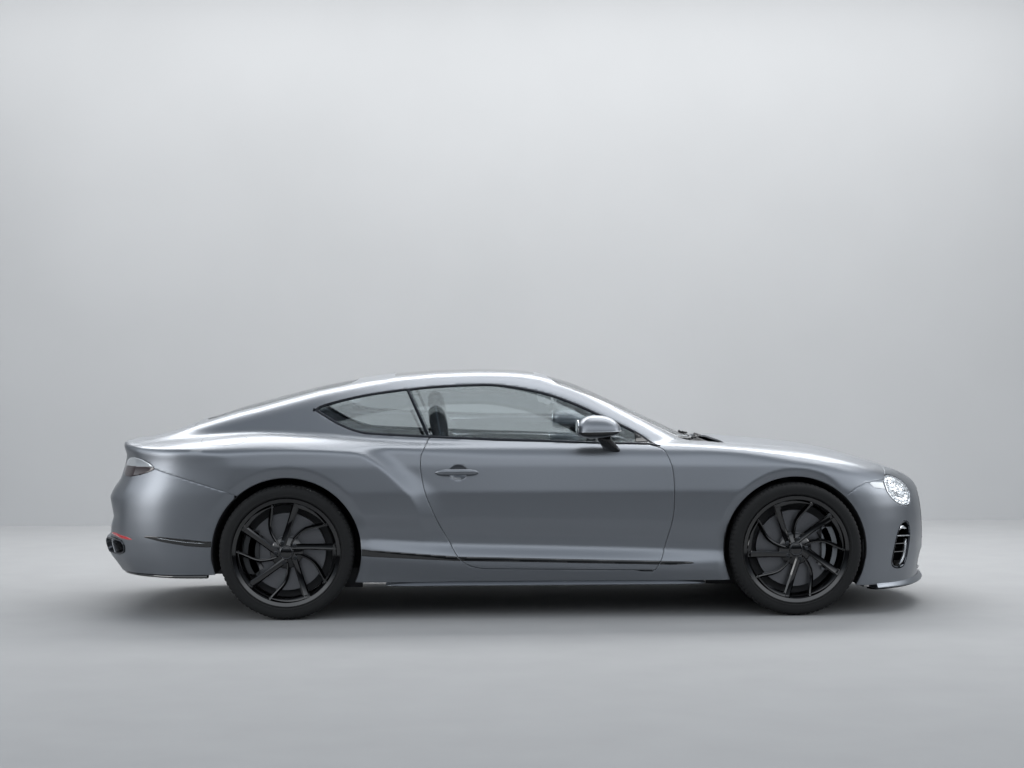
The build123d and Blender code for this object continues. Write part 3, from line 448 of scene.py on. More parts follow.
def shell(points, tris, way, normal, depth, hem=1.6):
    """A closed shell: the surface, a rounded hem along its open edges, and the surface again
    depth deeper along the rays."""
    rim = rim_of(tris)
    count = len(points)
    ends = np.unique(rim)
    place = np.full(count, -1)
    place[ends] = np.arange(len(ends))
    along = np.zeros((count, 3))
    span = points[rim[:, 1]] - points[rim[:, 0]]
    span /= np.linalg.norm(span, axis=1, keepdims=True) + 1e-9
    np.add.at(along, rim[:, 0], span)
    np.add.at(along, rim[:, 1], span)
    along, up, ray = along[ends], normal[ends], way[ends]
    depth = np.broadcast_to(depth(points) if callable(depth) else depth, count)[:, None]
    out = np.cross(along, up)
    out /= np.linalg.norm(out, axis=1, keepdims=True) + 1e-9
    edge = points[ends]
    rows = [edge + out * hem * 0.6 - up * hem * 0.25, edge + out * hem - up * hem,
            edge + out * hem - ray * depth[ends]]
    deep = points - way * depth
    verts = np.vstack([points, deep] + rows)
    faces = [tris, tris[:, ::-1] + count]
    n = len(ends)
    steps = [lambda e: e, lambda e: 2 * count + place[e], lambda e: 2 * count + n + place[e],
             lambda e: 2 * count + 2 * n + place[e], lambda e: count + e]
    quads = [np.stack([one(rim[:, 1]), one(rim[:, 0]), two(rim[:, 0]), two(rim[:, 1])], 1)
             for one, two in zip(steps, steps[1:])]
    return verts, [np.vstack(faces), np.vstack(quads)]


def flip(points, faces):
    """The same mesh on the other side of the car."""
    return points * [1, -1, 1], [f[:, ::-1] for f in faces]


def right(name):
    """The right-hand twin's name."""
    return name.replace("_left", "_right")


def grid_of(u_range, v_range, step):
    """A triangle grid over a rectangle of parameters."""
    us = np.linspace(*u_range, max(2, int(abs(u_range[1] - u_range[0]) / step) + 1))
    vs = np.linspace(*v_range, max(2, int(abs(v_range[1] - v_range[0]) / step) + 1))
    u, v = np.meshgrid(us, vs, indexing="ij")
    k = np.arange(u.size).reshape(u.shape)
    a, b, c, d = k[:-1, :-1].ravel(), k[1:, :-1].ravel(), k[1:, 1:].ravel(), k[:-1, 1:].ravel()
    tris = np.vstack([np.stack([a, b, c], 1), np.stack([a, c, d], 1)])
    return np.stack([u.ravel(), v.ravel()], 1), tris


def panel(name, family, u_range, v_range, regions, material, body_name="body", slot=None,
          replaces=(), step=12.0, proud=0.0, depth=14.0, hem=1.6, sharp=32):
    """A piece of the body surface inside every region; a region gives a distance, above 0 inside.
    A name that ends in _left gets its twin on the right. replaces=True stands for the name."""
    uv, tris = grid_of(u_range, v_range, step)
    for region in regions:
        p = cast(family, uv[:, 0], uv[:, 1])[0]
        uv, tris = trim(uv, tris, region(p))
    p, n, way = cast(family, uv[:, 0], uv[:, 1], proud)
    a, b, c = (p[tris[:40000, i]] for i in range(3))
    if (np.cross(b - a, c - a) * n[tris[:40000, 0]]).sum() < 0:
        tris = tris[:, ::-1]
    verts, faces = shell(p, tris, way, n, depth, hem)
    nodes = [name] if replaces is True else replaces
    add_mesh(name + "_panel", verts, faces, material, body_name, slot, nodes, sharp=sharp)
    if name.endswith("_left"):
        verts, faces = flip(verts, faces)
        add_mesh(right(name) + "_panel", verts, faces, material, right(body_name), slot,
                 [right(n) for n in nodes], sharp=sharp)


def side_in(outline, gap=0.0):
    """Inside an outline in side view, drawn in by gap."""
    return lambda p: signed(outline, p[:, 0], p[:, 2]) - gap


def side_out(outline, gap=0.0):
    """Outside an outline in side view, by gap."""
    return lambda p: -signed(outline, p[:, 0], p[:, 2]) - gap


def plan_in(outline, gap=0.0):
    """Inside an outline in plan, given for both sides as (x, half width), drawn in by gap."""
    whole = closed_plan(outline)
    return lambda p: signed(whole, p[:, 0], p[:, 1]) - gap


def plan_out(outline, gap=0.0):
    """Outside an outline in plan, by gap."""
    whole = closed_plan(outline)
    return lambda p: -signed(whole, p[:, 0], p[:, 1]) - gap


def closed_plan(outline):
    """A half outline in plan with its other half."""
    half = np.array(outline, float)
    return np.vstack([half, (half * [1, -1])[::-1]])


def arch_out(axle, radius):
    """Outside a wheel arch."""
    return lambda p: polar(p[:, 0], p[:, 2], axle)[1] - radius


def every(*regions):
    """Inside all of the regions."""
    return lambda p: np.min([r(p) for r in regions], 0)


def beyond(axis, value, sign=1):
    """On one side of a plane across an axis."""
    return lambda p: sign * (p[:, axis] - value)


# ---- shut lines, as in the CAD: station and height, or station and half width ---------------
DOOR_REAR = [(-560, 1004), (-588, 947), (-606, 897), (-605, 810), (-577, 682), (-513, 540),
             (-456, 440), (-398, 340), (-341, 297), (-273, 279), (-229, 276)]
DOOR_FRONT = [(702, 262), (737, 320), (764, 409), (791, 499), (809, 589), (813, 695), (808, 802),
              (790, 875), (763, 928), (736, 946)]
BELT = [(681, 961), (333, 970), (73, 980), (-159, 986)]
WINDOW_TOP = [(-684, 1280), (-566, 1294), (-347, 1306), (-150, 1304), (87, 1262), (266, 1201),
              (440, 1121), (620, 1033), (745, 948)]
QUARTER = [(-559, 1004), (-853, 1019), (-960, 1033), (-1067, 1073), (-1167, 1130), (-1216, 1160),
           (-1150, 1195), (-931, 1248), (-713, 1280), (-684, 1284)]
WINDSCREEN = [(1010, 0), (996, 330), (950, 520), (868, 612), (560, 622), (291, 600), (175, 572),
              (140, 420), (132, 0)]
ROOF_GLASS = [(62, 0), (62, 415), (40, 440), (-720, 440), (-755, 405), (-755, 0)]
REAR_WINDOW = [(-968, 0), (-982, 300), (-1010, 440), (-1060, 492), (-1500, 515), (-1790, 492),
               (-1835, 440), (-1858, 300), (-1868, 0)]
BONNET = [(2303, 0), (2295, 300), (2262, 470), (2190, 560), (2060, 622), (1868, 668), (1500, 712),
          (1128, 728), (1120, 500), (1135, 0)]
BOOT_LID = [(-1905, 0), (-1908, 500), (-1925, 535), (-1960, 545), (-2300, 528), (-2700, 505),
            (-2700, 0)]
QUARTER_LINE = [(-2700, 838), (-2090, 836), (-1690, 715), (-1500, 640)]

door_line = np.vstack([spline(DOOR_REAR, per=4), spline(DOOR_FRONT, per=4), spline(BELT, per=3)])
dlo_low = np.vstack([spline(BELT, per=3), [(-559, 1003)], spline(QUARTER[:6], per=4)])
dlo_top = np.vstack([spline(QUARTER[5:], per=4)[:-1], spline(WINDOW_TOP, per=4)])
dlo_line = np.vstack([dlo_low, dlo_top])
bumper_side = np.array(QUARTER_LINE + [(-1500, 0), (-2700, 0)], float)


# ---- materials ------------------------------------------------------------------------------
def rgb(code, alpha=1.0):
    """An sRGB hex colour as linear values."""
    parts = [int(code[i:i + 2], 16) / 255 for i in (0, 2, 4)]
    linear = [c / 12.92 if c <= 0.04045 else ((c + 0.055) / 1.055) ** 2.4 for c in parts]
    return (*linear, alpha)


def node(tree, kind, links=(), **settings):
    """Adds a node; settings name its sockets or properties, links are (socket, output) pairs."""
    made = tree.nodes.new(kind)
    for key, value in settings.items():
        name = key.replace("_", " ")
        sockets = {s.name.lower(): s for s in made.inputs}
        if name in sockets:
            sockets[name].default_value = value
        elif key in made.bl_rna.properties:
            setattr(made, key, value)
        else:
            raise KeyError(f"{kind} has no {key}")
    for socket, output in links:
        tree.links.new(made.inputs[socket], output)
    return made


USUAL_SLOT = {}            # material name -> its usual slot


def surface(name, colour, rough, other=None, pattern=None, slot=None, **settings):
    """A material on the standard shader. other is a second colour that a pattern mixes in, and
    pattern(tree, place) gives (mix, bump height, bump depth in metres) or None for each. slot is
    kept in USUAL_SLOT as the material's usual one."""
    made = bpy.data.materials.new(name)
    USUAL_SLOT[made.name] = slot
    made.use_nodes = True
    tree = made.node_tree
    shader = tree.nodes["Principled BSDF"]
    shader.inputs["Base Color"].default_value = rgb(colour)
    shader.inputs["Roughness"].default_value = rough
    sockets = {s.name.lower(): s for s in shader.inputs}
    for key, value in settings.items():
        value = rgb(value) if isinstance(value, str) else value
        sockets[key.replace("_", " ")].default_value = value
    if pattern:
        place = tree.nodes.new("ShaderNodeTexCoord").outputs["Object"]
        mix, height, depth = pattern(tree, place)
        if mix is not None:
            blend = node(tree, "ShaderNodeMix", data_type="RGBA")
            blend.inputs[6].default_value = rgb(colour)
            blend.inputs[7].default_value = rgb(other or colour)
            tree.links.new(blend.inputs[0], mix)
            tree.links.new(shader.inputs["Base Color"], blend.outputs[2])
        if height is not None:
            bump = node(tree, "ShaderNodeBump", [("Height", height)], strength=1.0, distance=depth)
            tree.links.new(shader.inputs["Normal"], bump.outputs[0])
    return made


def grain(size_mm, depth_mm=0.0, detail=3.0, share=1.0, kind="noise"):
    """A noise or cell pattern with features of a real size."""
    def build(tree, place):
        if kind == "noise":
            cloud = node(tree, "ShaderNodeTexNoise", [("Vector", place)], scale=1000 / size_mm,
                         detail=detail)
        else:
            cloud = node(tree, "ShaderNodeTexVoronoi", [("Vector", place)], scale=1000 / size_mm)
        out = cloud.outputs[0]
        mix = node(tree, "ShaderNodeMath", [(0, out)], operation="MULTIPLY")
        mix.inputs[1].default_value = share
        return mix.outputs[0], out if depth_mm else None, depth_mm / 1000
    return build


# Satin two-stage paint: aluminium flake under a matt clear coat, so broad soft highlights.
paint = surface("satin_grey_paint", "7a7e84", 0.36, "808489", grain(1.2), "paint", metallic=0.92,
                coat_weight=0.15, coat_roughness=0.3)
# Polished injection-moulded ABS, near black, mirror-like.
gloss_black = surface("gloss_black_abs", "0b0c0d", 0.08, "101112", grain(40), "gloss_black",
                      coat_weight=0.6, coat_roughness=0.04)
# Grained polypropylene of liners, seals and lower trims.
matte_black = surface("grained_polypropylene", "15161a", 0.62, "1d1e21", grain(1.5, 0.15),
                      "matte_black")


# ---- painted body panels --------------------------------------------------------------------
FIX, GAP = 1.6, 2.6        # half a seam between fixed panels, and half a shut line
SILL_FOOT = 203            # height of the painted panels' lower edge between the wheels
HINGE_X = 672              # the doors' hinge axis


def seam_plane(p):
    """Below the roof seam: outboard of it where the greenhouse is above the waist."""
    return np.where(p[:, 2] > 1015, np.abs(p[:, 1]) - 541.5, 50.0)


def behind_fender(p):
    """Behind the joint from the door's top corner up to the windscreen's foot."""
    joint = np.array([(690, 930), (745, 955), (830, 985), (930, 1015), (1110, 1080), (1110, 1400),
                      (-3000, 1400), (-3000, 100), (690, 100)], float)
    return signed(joint, p[:, 0], p[:, 2])


fender_front = np.array([(1790, 60), (1790, 672), (1850, 716), (1905, 742), (2040, 760),
                         (2250, 1200), (600, 1200), (600, 60)], float)

TAIL_SIDE = [(-2088, 836), (-2112, 858), (-2165, 884), (-2240, 901), (-2500, 904), (-2500, 783),
             (-2250, 788), (-2180, 800), (-2120, 820)]
TAIL_BACK = [(583, 838), (596, 806), (640, 787), (800, 783), (1200, 783), (1200, 905), (800, 903),
             (640, 892), (596, 872)]
GRILLE = [(0, 684), (250, 682), (370, 668), (418, 630), (432, 560), (428, 470), (404, 405),
          (350, 384), (0, 380)]
LOW_INTAKE = [(0, 326), (420, 324), (520, 312), (560, 286), (548, 232), (500, 208), (0, 205)]
SIDE_INTAKE = [(738, 430), (744, 490), (766, 511), (796, 506), (822, 450), (840, 360), (847, 290),
               (834, 258), (800, 250), (774, 264), (756, 330)]
EXHAUST = [(548, 392), (556, 428), (600, 441), (690, 441), (748, 432), (764, 400), (752, 362),
           (700, 346), (600, 346), (556, 358)]
LAMP_Y, LAMP_Z = 752, 690
LAMP = oval(LAMP_Y, LAMP_Z, 91, 91, 48)
BROW = [(2125, 733), (2050, 737), (1990, 741), (1950, 743), (1932, 741), (1945, 728), (1962, 714),
        (2030, 703), (2125, 697)]
HANDLE_Z = 812
RECESS = oval(-398, HANDLE_Z, 52, 43, 40)


def across_in(outline, sign=0, gap=0.0):
    """Inside an outline of (half width, height) on both sides, at one end of the car; a half
    outline that starts on the middle line is taken with its other half."""
    whole = np.array(outline, float)
    if whole[0, 0] == 0:
        whole = np.vstack([whole, (whole * [-1, 1])[::-1]])
    return lambda p: np.where(sign * p[:, 0] >= 0, signed(whole, np.abs(p[:, 1]), p[:, 2]) - gap,
                              -50.0)


def outside(region, gap=0.0):
    """Outside a region, by gap."""
    return lambda p: -region(p) - gap


tail_lamp = every(side_in(TAIL_SIDE), across_in(TAIL_BACK, -1))


def under_hinge(p):
    """Extra room below the door round its hinge axis, where its lower edge swings over the sill."""
    return 7 * ease((85 - np.abs(p[:, 0] - HINGE_X)) / 40) * (p[:, 2] < 400)


panel("body_side_left", hull, (-2420, 1112), (-560, 912), [
    beyond(2, SILL_FOOT), lambda p: side_out(door_line, GAP)(p) - under_hinge(p),
    side_out(dlo_line, 0.5), side_out(bumper_side, FIX), arch_out(REAR_AXLE, REAR_ARCH), seam_plane,
    lambda p: np.minimum(behind_fender(p), 1090 - p[:, 0]), plan_out(WINDSCREEN, 2),
    plan_out(REAR_WINDOW, 2), plan_out(BOOT_LID, GAP),
    lambda p: p[:, 0] + 2335 + np.maximum(0, 900 - p[:, 2]) * 0.2, outside(tail_lamp, 2)
], paint, replaces=True, depth=22)

panel("front_fender_left", hull, (680, 2250), (-560, 640), [
    beyond(2, SILL_FOOT), side_out(door_line, GAP), lambda p: -behind_fender(p) - FIX,
    arch_out(FRONT_AXLE, FRONT_ARCH), side_in(fender_front, FIX), plan_out(BONNET, GAP),
    plan_out([(1140, 0), (1140, 728), (1100, 735), (960, 690), (900, 640), (0, 640), (0, 0)], 2),
    plan_out(WINDSCREEN, 2)], paint, replaces=True, depth=16)

panel("door_left", hull, (-640, 840), (-480, 470), [side_in(door_line, GAP), side_out(RECESS, 0.5)],
      paint, "door_left", replaces=True, step=11,
      depth=lambda p: np.interp(p[:, 0], [590, 636], [62, 26]))

panel("bonnet", above, (1090, 2330), (-740, 740), [plan_in(BONNET, GAP)], paint, "bonnet",
      replaces=True, step=13, depth=12)

panel("roof_panel", above, (-1925, 160), (-560, 560), [
    lambda p: 540 - np.abs(p[:, 1]), plan_out(WINDSCREEN, 2), plan_out(ROOF_GLASS, 2),
    plan_out(REAR_WINDOW, 2), lambda p: p[:, 0] + 1903], paint, replaces=True, step=14, depth=16)

panel("boot_lid", over_tail, (-560, 560), (-170, 700), [plan_in(BOOT_LID, GAP), beyond(2, 664)],
      paint, "boot_lid", replaces=True, step=11, depth=14)

panel("rear_bumper", hull, (-1640, REAR_FAN - math.pi * FAN_RADIUS - 10), (-560, 420),
      [beyond(2, 250), side_in(bumper_side, FIX), arch_out(REAR_AXLE, REAR_ARCH),
       lambda p: np.maximum(659 - p[:, 2], plan_out(BOOT_LID, GAP)(p)), outside(tail_lamp, 2),
       outside(across_in(EXHAUST, -1), 1)], paint, replaces=True, depth=16)

panel("front_bumper", hull, (1740, FRONT_FAN + math.pi * FAN_RADIUS + 10), (-520, 420),
      [beyond(2, 165), side_out(fender_front, FIX), arch_out(FRONT_AXLE, FRONT_ARCH),
       plan_out(BONNET, GAP), outside(across_in(GRILLE, 1)), outside(across_in(LOW_INTAKE, 1)),
       outside(across_in(SIDE_INTAKE, 1)), outside(across_in(LAMP, 1), 2), side_out(BROW, 1.5)],
      paint, replaces=True, depth=16)

# ---- glass ----------------------------------------------------------------------------------
# Laminated solar glass with a faint grey-green body.
glass = surface("tinted_glass", "c9d6d8", 0.02, slot="glass", transmission_weight=1.0, ior=1.12,
                alpha=0.42)
panel("windscreen", above, (100, 1030), (-650, 650), [plan_in(WINDSCREEN, 1)], glass, replaces=True,
      step=16, depth=5, proud=-3)
panel("rear_window", above, (-1900, -940), (-540, 540), [plan_in(REAR_WINDOW, 1)], glass,
      replaces=True, step=16, depth=5, proud=-2)
panel("roof_glass", above, (-780, 90), (-460, 460), [plan_in(ROOF_GLASS, 1)], gloss_black,
      slot="glass", replaces=True, step=16, depth=5, proud=-1)


# ---- swept and turned shapes ----------------------------------------------------------------
def grid_faces(rows, columns, around_rows=False, around_columns=False):
    """Quads of a grid of points counted row by row, closed either way on request."""
    i = np.arange(rows if around_rows else rows - 1)
    j = np.arange(columns if around_columns else columns - 1)
    i, j = np.meshgrid(i, j, indexing="ij")
    i, j = i.ravel(), j.ravel()
    up, on = (i + 1) % rows, (j + 1) % columns
    return np.stack([i * columns + j, up * columns + j, up * columns + on, i * columns + on], 1)


def fan_cap(first, count, centre, flipped):
    """Triangles from a ring of points to a centre point."""
    ring = first + np.arange(count)
    tris = np.stack([ring, np.roll(ring, -1), np.full(count, centre)], 1)
    return tris[:, ::-1] if flipped else tris


def outward(points, faces):
    """Turns a closed mesh's faces to point out, judged by its volume's sign."""
    total = 0.0
    for f in faces:
        for k in range(1, f.shape[1] - 1):
            a, b, c = points[f[:, 0]], points[f[:, k]], points[f[:, k + 1]]
            total += np.einsum("ij,ij->i", a - points.mean(0),
                               np.cross(b - points.mean(0), c - points.mean(0))).sum()
    return points, faces if total > 0 else [f[:, ::-1] for f in faces]


def sweep(path, across, up, section, width=1.0, height=1.0, closed=False):
    """A section of (across, up) points carried along a path, scaled by width and height at each
    step, with rounded-off flat ends."""
    path, section = np.array(path, float), np.array(section, float)
    width, height = (np.broadcast_to(np.asarray(v, float), (len(path),)) for v in (width, height))
    across, up = (np.broadcast_to(np.asarray(v, float), path.shape) for v in (across, up))
    rings = (path[:, None] + across[:, None] * (section[None, :, :1] * width[:, None, None])
             + up[:, None] * (section[None, :, 1:] * height[:, None, None]))
    points = rings.reshape(-1, 3)
    quads = grid_faces(len(path), len(section), closed, True)
    if closed:
        return outward(points, [quads])
    last = (len(path) - 1) * len(section)
    points = np.vstack([points, rings[0].mean(0), rings[-1].mean(0)])
    tris = np.vstack([fan_cap(0, len(section), len(points) - 2, True),
                      fan_cap(last, len(section), len(points) - 1, False)])
    return outward(points, [quads, tris])


def frames(path, up):
    """Unit across and up directions along a path, for sweep."""
    path = np.array(path, float)
    along = np.gradient(path, axis=0)
    along /= np.linalg.norm(along, axis=1, keepdims=True)
    up = np.broadcast_to(np.asarray(up, float), path.shape)
    across = np.cross(up, along)
    across /= np.linalg.norm(across, axis=1, keepdims=True)
    return across, np.cross(along, across)


def disc_section(count=12, squareness=2.0):
    """A closed round (2) to nearly square (5) section of half sizes 1."""
    turn = np.arange(count) / count * 2 * math.pi
    return np.stack([squared(np.cos(turn), 2 / squareness),
                     squared(np.sin(turn), 2 / squareness)], 1)


def joined(*parts):
    """Several meshes as one."""
    points, tris, quads, count = [], [], [], 0
    for p, faces in parts:
        points.append(p)
        for f in faces:
            (tris if f.shape[1] == 3 else quads).append(f + count)
        count += len(p)
    return np.vstack(points), [np.vstack(f) for f in (tris, quads) if f]


def about_axle(radius, angle, y, axle):
    """A point at a radius and an angle round a wheel's axle."""
    return np.stack([axle + radius * np.cos(angle), y + 0 * radius * angle,
                     AXLE_Z + radius * np.sin(angle)], -1)


def turned(profile, axle, count=96, ripple=None, arc=(0.0, 2 * math.pi)):
    """A closed (radius, y) profile turned round an axle; ripple(angle, y) lowers the radius."""
    profile = np.array(profile, float)
    whole = arc[1] - arc[0] > 6.28
    angle = np.linspace(*arc, count, endpoint=not whole)[:, None]
    radius, y = profile[:, 0][None, :] + 0 * angle, profile[:, 1][None, :] + 0 * angle
    if ripple:
        radius = radius - ripple(angle, y)
    points = about_axle(radius, angle, y, axle).reshape(-1, 3)
    return outward(points, [grid_faces(count, len(profile), whole, True)])


def both_sides(name, part, material, body_name="body", slot=None, replaces=(), sharp=32):
    """A piece and its twin across the car; body and node names with _left turn to _right."""
    add_mesh(name + "_left", *part, material, body_name, slot, replaces, sharp=sharp)
    add_mesh(name + "_right", *flip(*part), material, right(body_name), slot,
             [right(n) for n in replaces], sharp=sharp)


# ---- pieces laid on the body surface --------------------------------------------------------
def disc_grid(outline, rings):
    """A disc of (u, v) points from an outline's middle out to it, its triangles, and each
    point's share of the way out."""
    outline = np.array(outline, float)
    count, t = len(outline), np.linspace(0, 1, rings + 1)[1:]
    middle = outline.mean(0)
    uv = np.vstack([middle[None], (middle + t[:, None, None] * (outline - middle)).reshape(-1, 2)])
    quads = grid_faces(rings, count, False, True) + 1
    tris = np.vstack([fan_cap(1, count, 0, False), quads[:, [0, 1, 2]][:, ::-1],
                      quads[:, [0, 2, 3]][:, ::-1]])
    return uv, tris, np.r_[0, np.repeat(t, count)]


def patch(family, outline, rings=10, proud=0.0, dome=0.0, depth=5.0, ripple=None):
    """A crowned or hollow closed patch of the body surface inside an outline; ripple(u, v, share)
    adds to its height."""
    uv, tris, share = disc_grid(outline, rings)
    p, n, way = cast(family, uv[:, 0], uv[:, 1], proud)
    rise = dome * (1 - share ** 2)
    if ripple:
        rise = rise + ripple(uv[:, 0], uv[:, 1], share)
    p = p + way * rise[:, None]
    a, b, c = (p[tris[:, i]] for i in range(3))
    if (np.cross(b - a, c - a) * way[tris[:, 0]]).sum() < 0:
        tris = tris[:, ::-1]
    return shell(p, tris, way, n, depth, 0.5)


def bead(family, outline, half, height, sink=4.0, closed=False, squareness=2.8, proud=0.0,
         taper=0.0, per=6, smooth=True, sides=12):
    """A rounded strip along (u, v) points on the body: half its width, its height above the
    surface and the depth below it; taper is the share of its length that narrows to each end."""
    uv = spline(outline, 0, closed, per) if smooth else np.array(outline, float)
    p, n, _ = cast(family, uv[:, 0], uv[:, 1], proud)
    along = np.roll(p, -1, 0) - np.roll(p, 1, 0) if closed else np.gradient(p, axis=0)
    across = np.cross(n, along)
    across /= np.linalg.norm(across, axis=1, keepdims=True) + 1e-9
    section = disc_section(sides, squareness)
    section[:, 1] = section[:, 1] * (height + sink) / 2 + (height - sink) / 2
    width = np.full(len(p), half, float)
    if taper:
        s = np.linspace(0, 1, len(p))
        width *= np.sqrt(np.clip(np.minimum(s, 1 - s) / taper, 0.004, 1))
    return sweep(p, across, n, section, width, 1.0, closed)


def inset(outline, gap):
    """A closed outline drawn in by gap along its corners' normals."""
    a = np.array(outline, float)
    tangent = np.roll(a, -1, 0) - np.roll(a, 1, 0)
    normal = np.stack([-tangent[:, 1], tangent[:, 0]], 1)
    normal /= np.linalg.norm(normal, axis=1, keepdims=True) + 1e-9
    area = (a[:, 0] * np.roll(a[:, 1], -1) - np.roll(a[:, 0], -1) * a[:, 1]).sum()
    return a + normal * gap * np.sign(area)


def thinned(points, least):
    """Points of a run with those nearer than least to the one kept before left out."""
    kept = [points[0]]
    for point in points[1:]:
        if np.hypot(*(point - kept[-1])) >= least:
            kept.append(point)
    return np.array(kept)


def box_mesh(low, high, round_off=4.0):
    """A closed box with softened edges: a rounded rectangle in plan carried up in five rings."""
    low, high = np.array(low, float), np.array(high, float)
    r = min(round_off, *(high - low) / 2.05)
    turn = np.radians(np.arange(0, 360, 15) + 7.5)
    way = np.stack([np.cos(turn), np.sin(turn)], 1)
    corner = np.sign(way)
    rings = []
    for lift, back in ((0, r), (0.3 * r, 0.3 * r), (r, 0), (-r, 0), (-0.3 * r, 0.3 * r), (0, r)):
        level = (low[2] if len(rings) < 3 else high[2]) + lift
        half = (high[:2] - low[:2]) / 2 - back
        plan = (low[:2] + high[:2]) / 2 + corner * (half - r * 0.8) + 0.8 * r * way
        rings.append(np.column_stack([plan, np.full(len(turn), level)]))
    return loft(rings)


def boxes(*rows):
    """Softened boxes as one mesh, from rows of both corners and the rounding."""
    made = [box_mesh(row[:3], row[3:6], row[6]) for row in rows]
    return joined(*made) if len(made) > 1 else made[0]


def loft(rings):
    """A closed skin over rings of equal counts, with fans over both ends."""
    rings = np.array(rings, float)
    count = rings.shape[1]
    points = np.vstack([rings.reshape(-1, 3), rings[0].mean(0), rings[-1].mean(0)])
    quads = grid_faces(len(rings), count, False, True)
    tris = np.vstack([fan_cap(0, count, len(points) - 2, True),
                      fan_cap((len(rings) - 1) * count, count, len(points) - 1, False)])
    return outward(points, [quads, tris])


def one(name, part, material, body_name="body", slot=None, replaces=(), sharp=32):
    """A single piece from a mesh."""
    add_mesh(name, *part, material, body_name, slot, replaces, sharp=sharp)


# ---- side windows ---------------------------------------------------------------------------
# Dark-chromed moulding, near black with a crisp edge light.
moulding = surface("dark_chrome_moulding", "1c1f24", 0.16, "20242a", grain(20), "gloss_black",
                   metallic=0.75)
# Bright satin-anodised aluminium.
satin_metal = surface("satin_anodised_aluminium", "c3c6ca", 0.24, "cbced1", grain(6), "steel_tip",
                      metallic=0.95)


def post(z):
    """Where the shut line between the side windows stands at a height."""
    return np.interp(z, [1004, 1284], [-559, -684])


panel("door_glass_left", aside, (-700, 770), (940, 1312),
      [side_in(dlo_line, 8), lambda p: p[:, 0] - post(p[:, 2]) - 9], glass, "door_left",
      replaces=True, step=14, depth=4.5, proud=-4)
panel("quarter_glass_left", aside, (-1220, -540), (1000, 1300),
      [side_in(dlo_line, 8), lambda p: post(p[:, 2]) - 9 - p[:, 0]], glass,
      replaces=["quarter_windows"], step=12, depth=4.5, proud=-4)
ring = inset(dlo_line, 6.5)
belt_count, low_count = len(spline(BELT, per=3)), len(dlo_low)
both_sides("belt_moulding", bead(aside, thinned(ring[:belt_count], 12), 8, 3, 8, smooth=False),
           moulding, "door_left")
upper = np.vstack([ring[low_count - 2:], ring[:1]])
both_sides("roof_moulding", bead(aside, thinned(upper, 8), 8.5, 3, 9, smooth=False), moulding)
both_sides("quarter_moulding",
           bead(aside, thinned(ring[belt_count - 1:low_count + 1], 8), 8.5, 3, 9, smooth=False),
           moulding)
both_sides("pillar_moulding",
           bead(aside, np.linspace((-563, 1010), (-683, 1280), 12), 9, 1.5, 7, smooth=False),
           moulding)
panel("sail_left", aside, (560, 770), (940, 1040),
      [side_in([(604, 1040), (612, 967), (690, 958), (742, 950)]), side_in(dlo_line, 10)],
      gloss_black, "door_left", step=8, depth=6, proud=1)

# ---- low strips, skirts and blades ----------------------------------------------------------
STRIP = [(-945, 390), (-670, 368), (-399, 345), (0, 334), (400, 322), (800, 311), (905, 307),
         (930, 303), (905, 298), (800, 293), (400, 303), (0, 314), (-399, 323), (-670, 339),
         (-945, 354)]
strip_cuts = {"mid": ([side_in(door_line, GAP + 1)], "door_left"),
              "rear": ([side_out(door_line, GAP + 1), beyond(0, 0, -1),
                        arch_out(REAR_AXLE, REAR_ARCH + 2)], "body"),
              "front": ([side_out(door_line, GAP + 1), beyond(0, 0, 1)], "body")}
for place, (cuts, rides) in strip_cuts.items():
    panel(f"sill_strip_{place}_left", aside, (-960, 940), (280, 400), [side_in(STRIP)] + cuts,
          gloss_black, rides, step=7, depth=6, proud=1.8)


def blade_along(points, out, top, thick, deep):
    """A flat blade round the car's foot: (x, y) points, carried at one level."""
    path = np.column_stack([points, np.full(len(points), top)])
    along = np.gradient(path, axis=0)
    along /= np.linalg.norm(along, axis=1, keepdims=True)
    side = np.cross(along, [0, 0, 1.0])
    side *= np.sign((side * (path - [0, 0, top]))[:, :2].sum(1, keepdims=True))
    section = [(out, -0.8 * thick), (out - 3, -0.5 * thick), (out - 15, 0), (-deep, 0),
               (-deep, -thick), (out - 16, -thick), (out - 3, -0.95 * thick)]
    return sweep(path, side, [0, 0, 1.0], section)


def round_end(points):
    """A run of points from one side to the middle line as a plan outline, with its other half."""
    half = points[:, :2].copy()
    half[-1, 1] = 0
    return np.vstack([half, (half * [1, -1])[::-1][1:]])


SKIRT_REAR, SKIRT_FRONT = -800, 985
skirt_u = np.linspace(SKIRT_REAR, SKIRT_FRONT, 60)
skirt_p = cast(aside, skirt_u, 0 * skirt_u + 215)[0]
skirt_in = 36 * (1 - np.sqrt(np.clip(np.minimum(skirt_u - SKIRT_REAR, SKIRT_FRONT - skirt_u) / 160,
                                     0, 1)))
both_sides("skirt_blade",
           blade_along(np.column_stack([skirt_u, skirt_p[:, 1] - skirt_in]), 10, 201, 19, 70),
           paint, replaces=["side_skirts"])
# A thin strip of bright satin metal along the skirt blade's lower edge: a painted highlight where
# that edge catches the light.
both_sides("skirt_edge_highlight",
           blade_along(np.column_stack([skirt_u, skirt_p[:, 1] - skirt_in + 1]), 12, 186, 4.5, 30),
           satin_metal, slot="gloss_black")
split_u = np.linspace(1945, NOSE_MIDDLE, 90)
split_p = cast(hull, split_u, -470 + 0 * split_u)[0]
split_p = split_p[split_p[:, 0] > 1942]
plan = round_end(split_p)
one("splitter_blade", blade_along(plan, 17, 178, 38, 60), paint, slot="gloss_black",
    replaces=["front_splitter"])
one("splitter_under", blade_along(plan, -2, 141, 8, 80), gloss_black)

# ---- lamps ----------------------------------------------------------------------------------
# Clear polycarbonate lens.
lens = surface("clear_polycarbonate", "f4f7f8", 0.02, slot="lamp_clear", transmission_weight=1.0,
               ior=1.2, alpha=0.3)
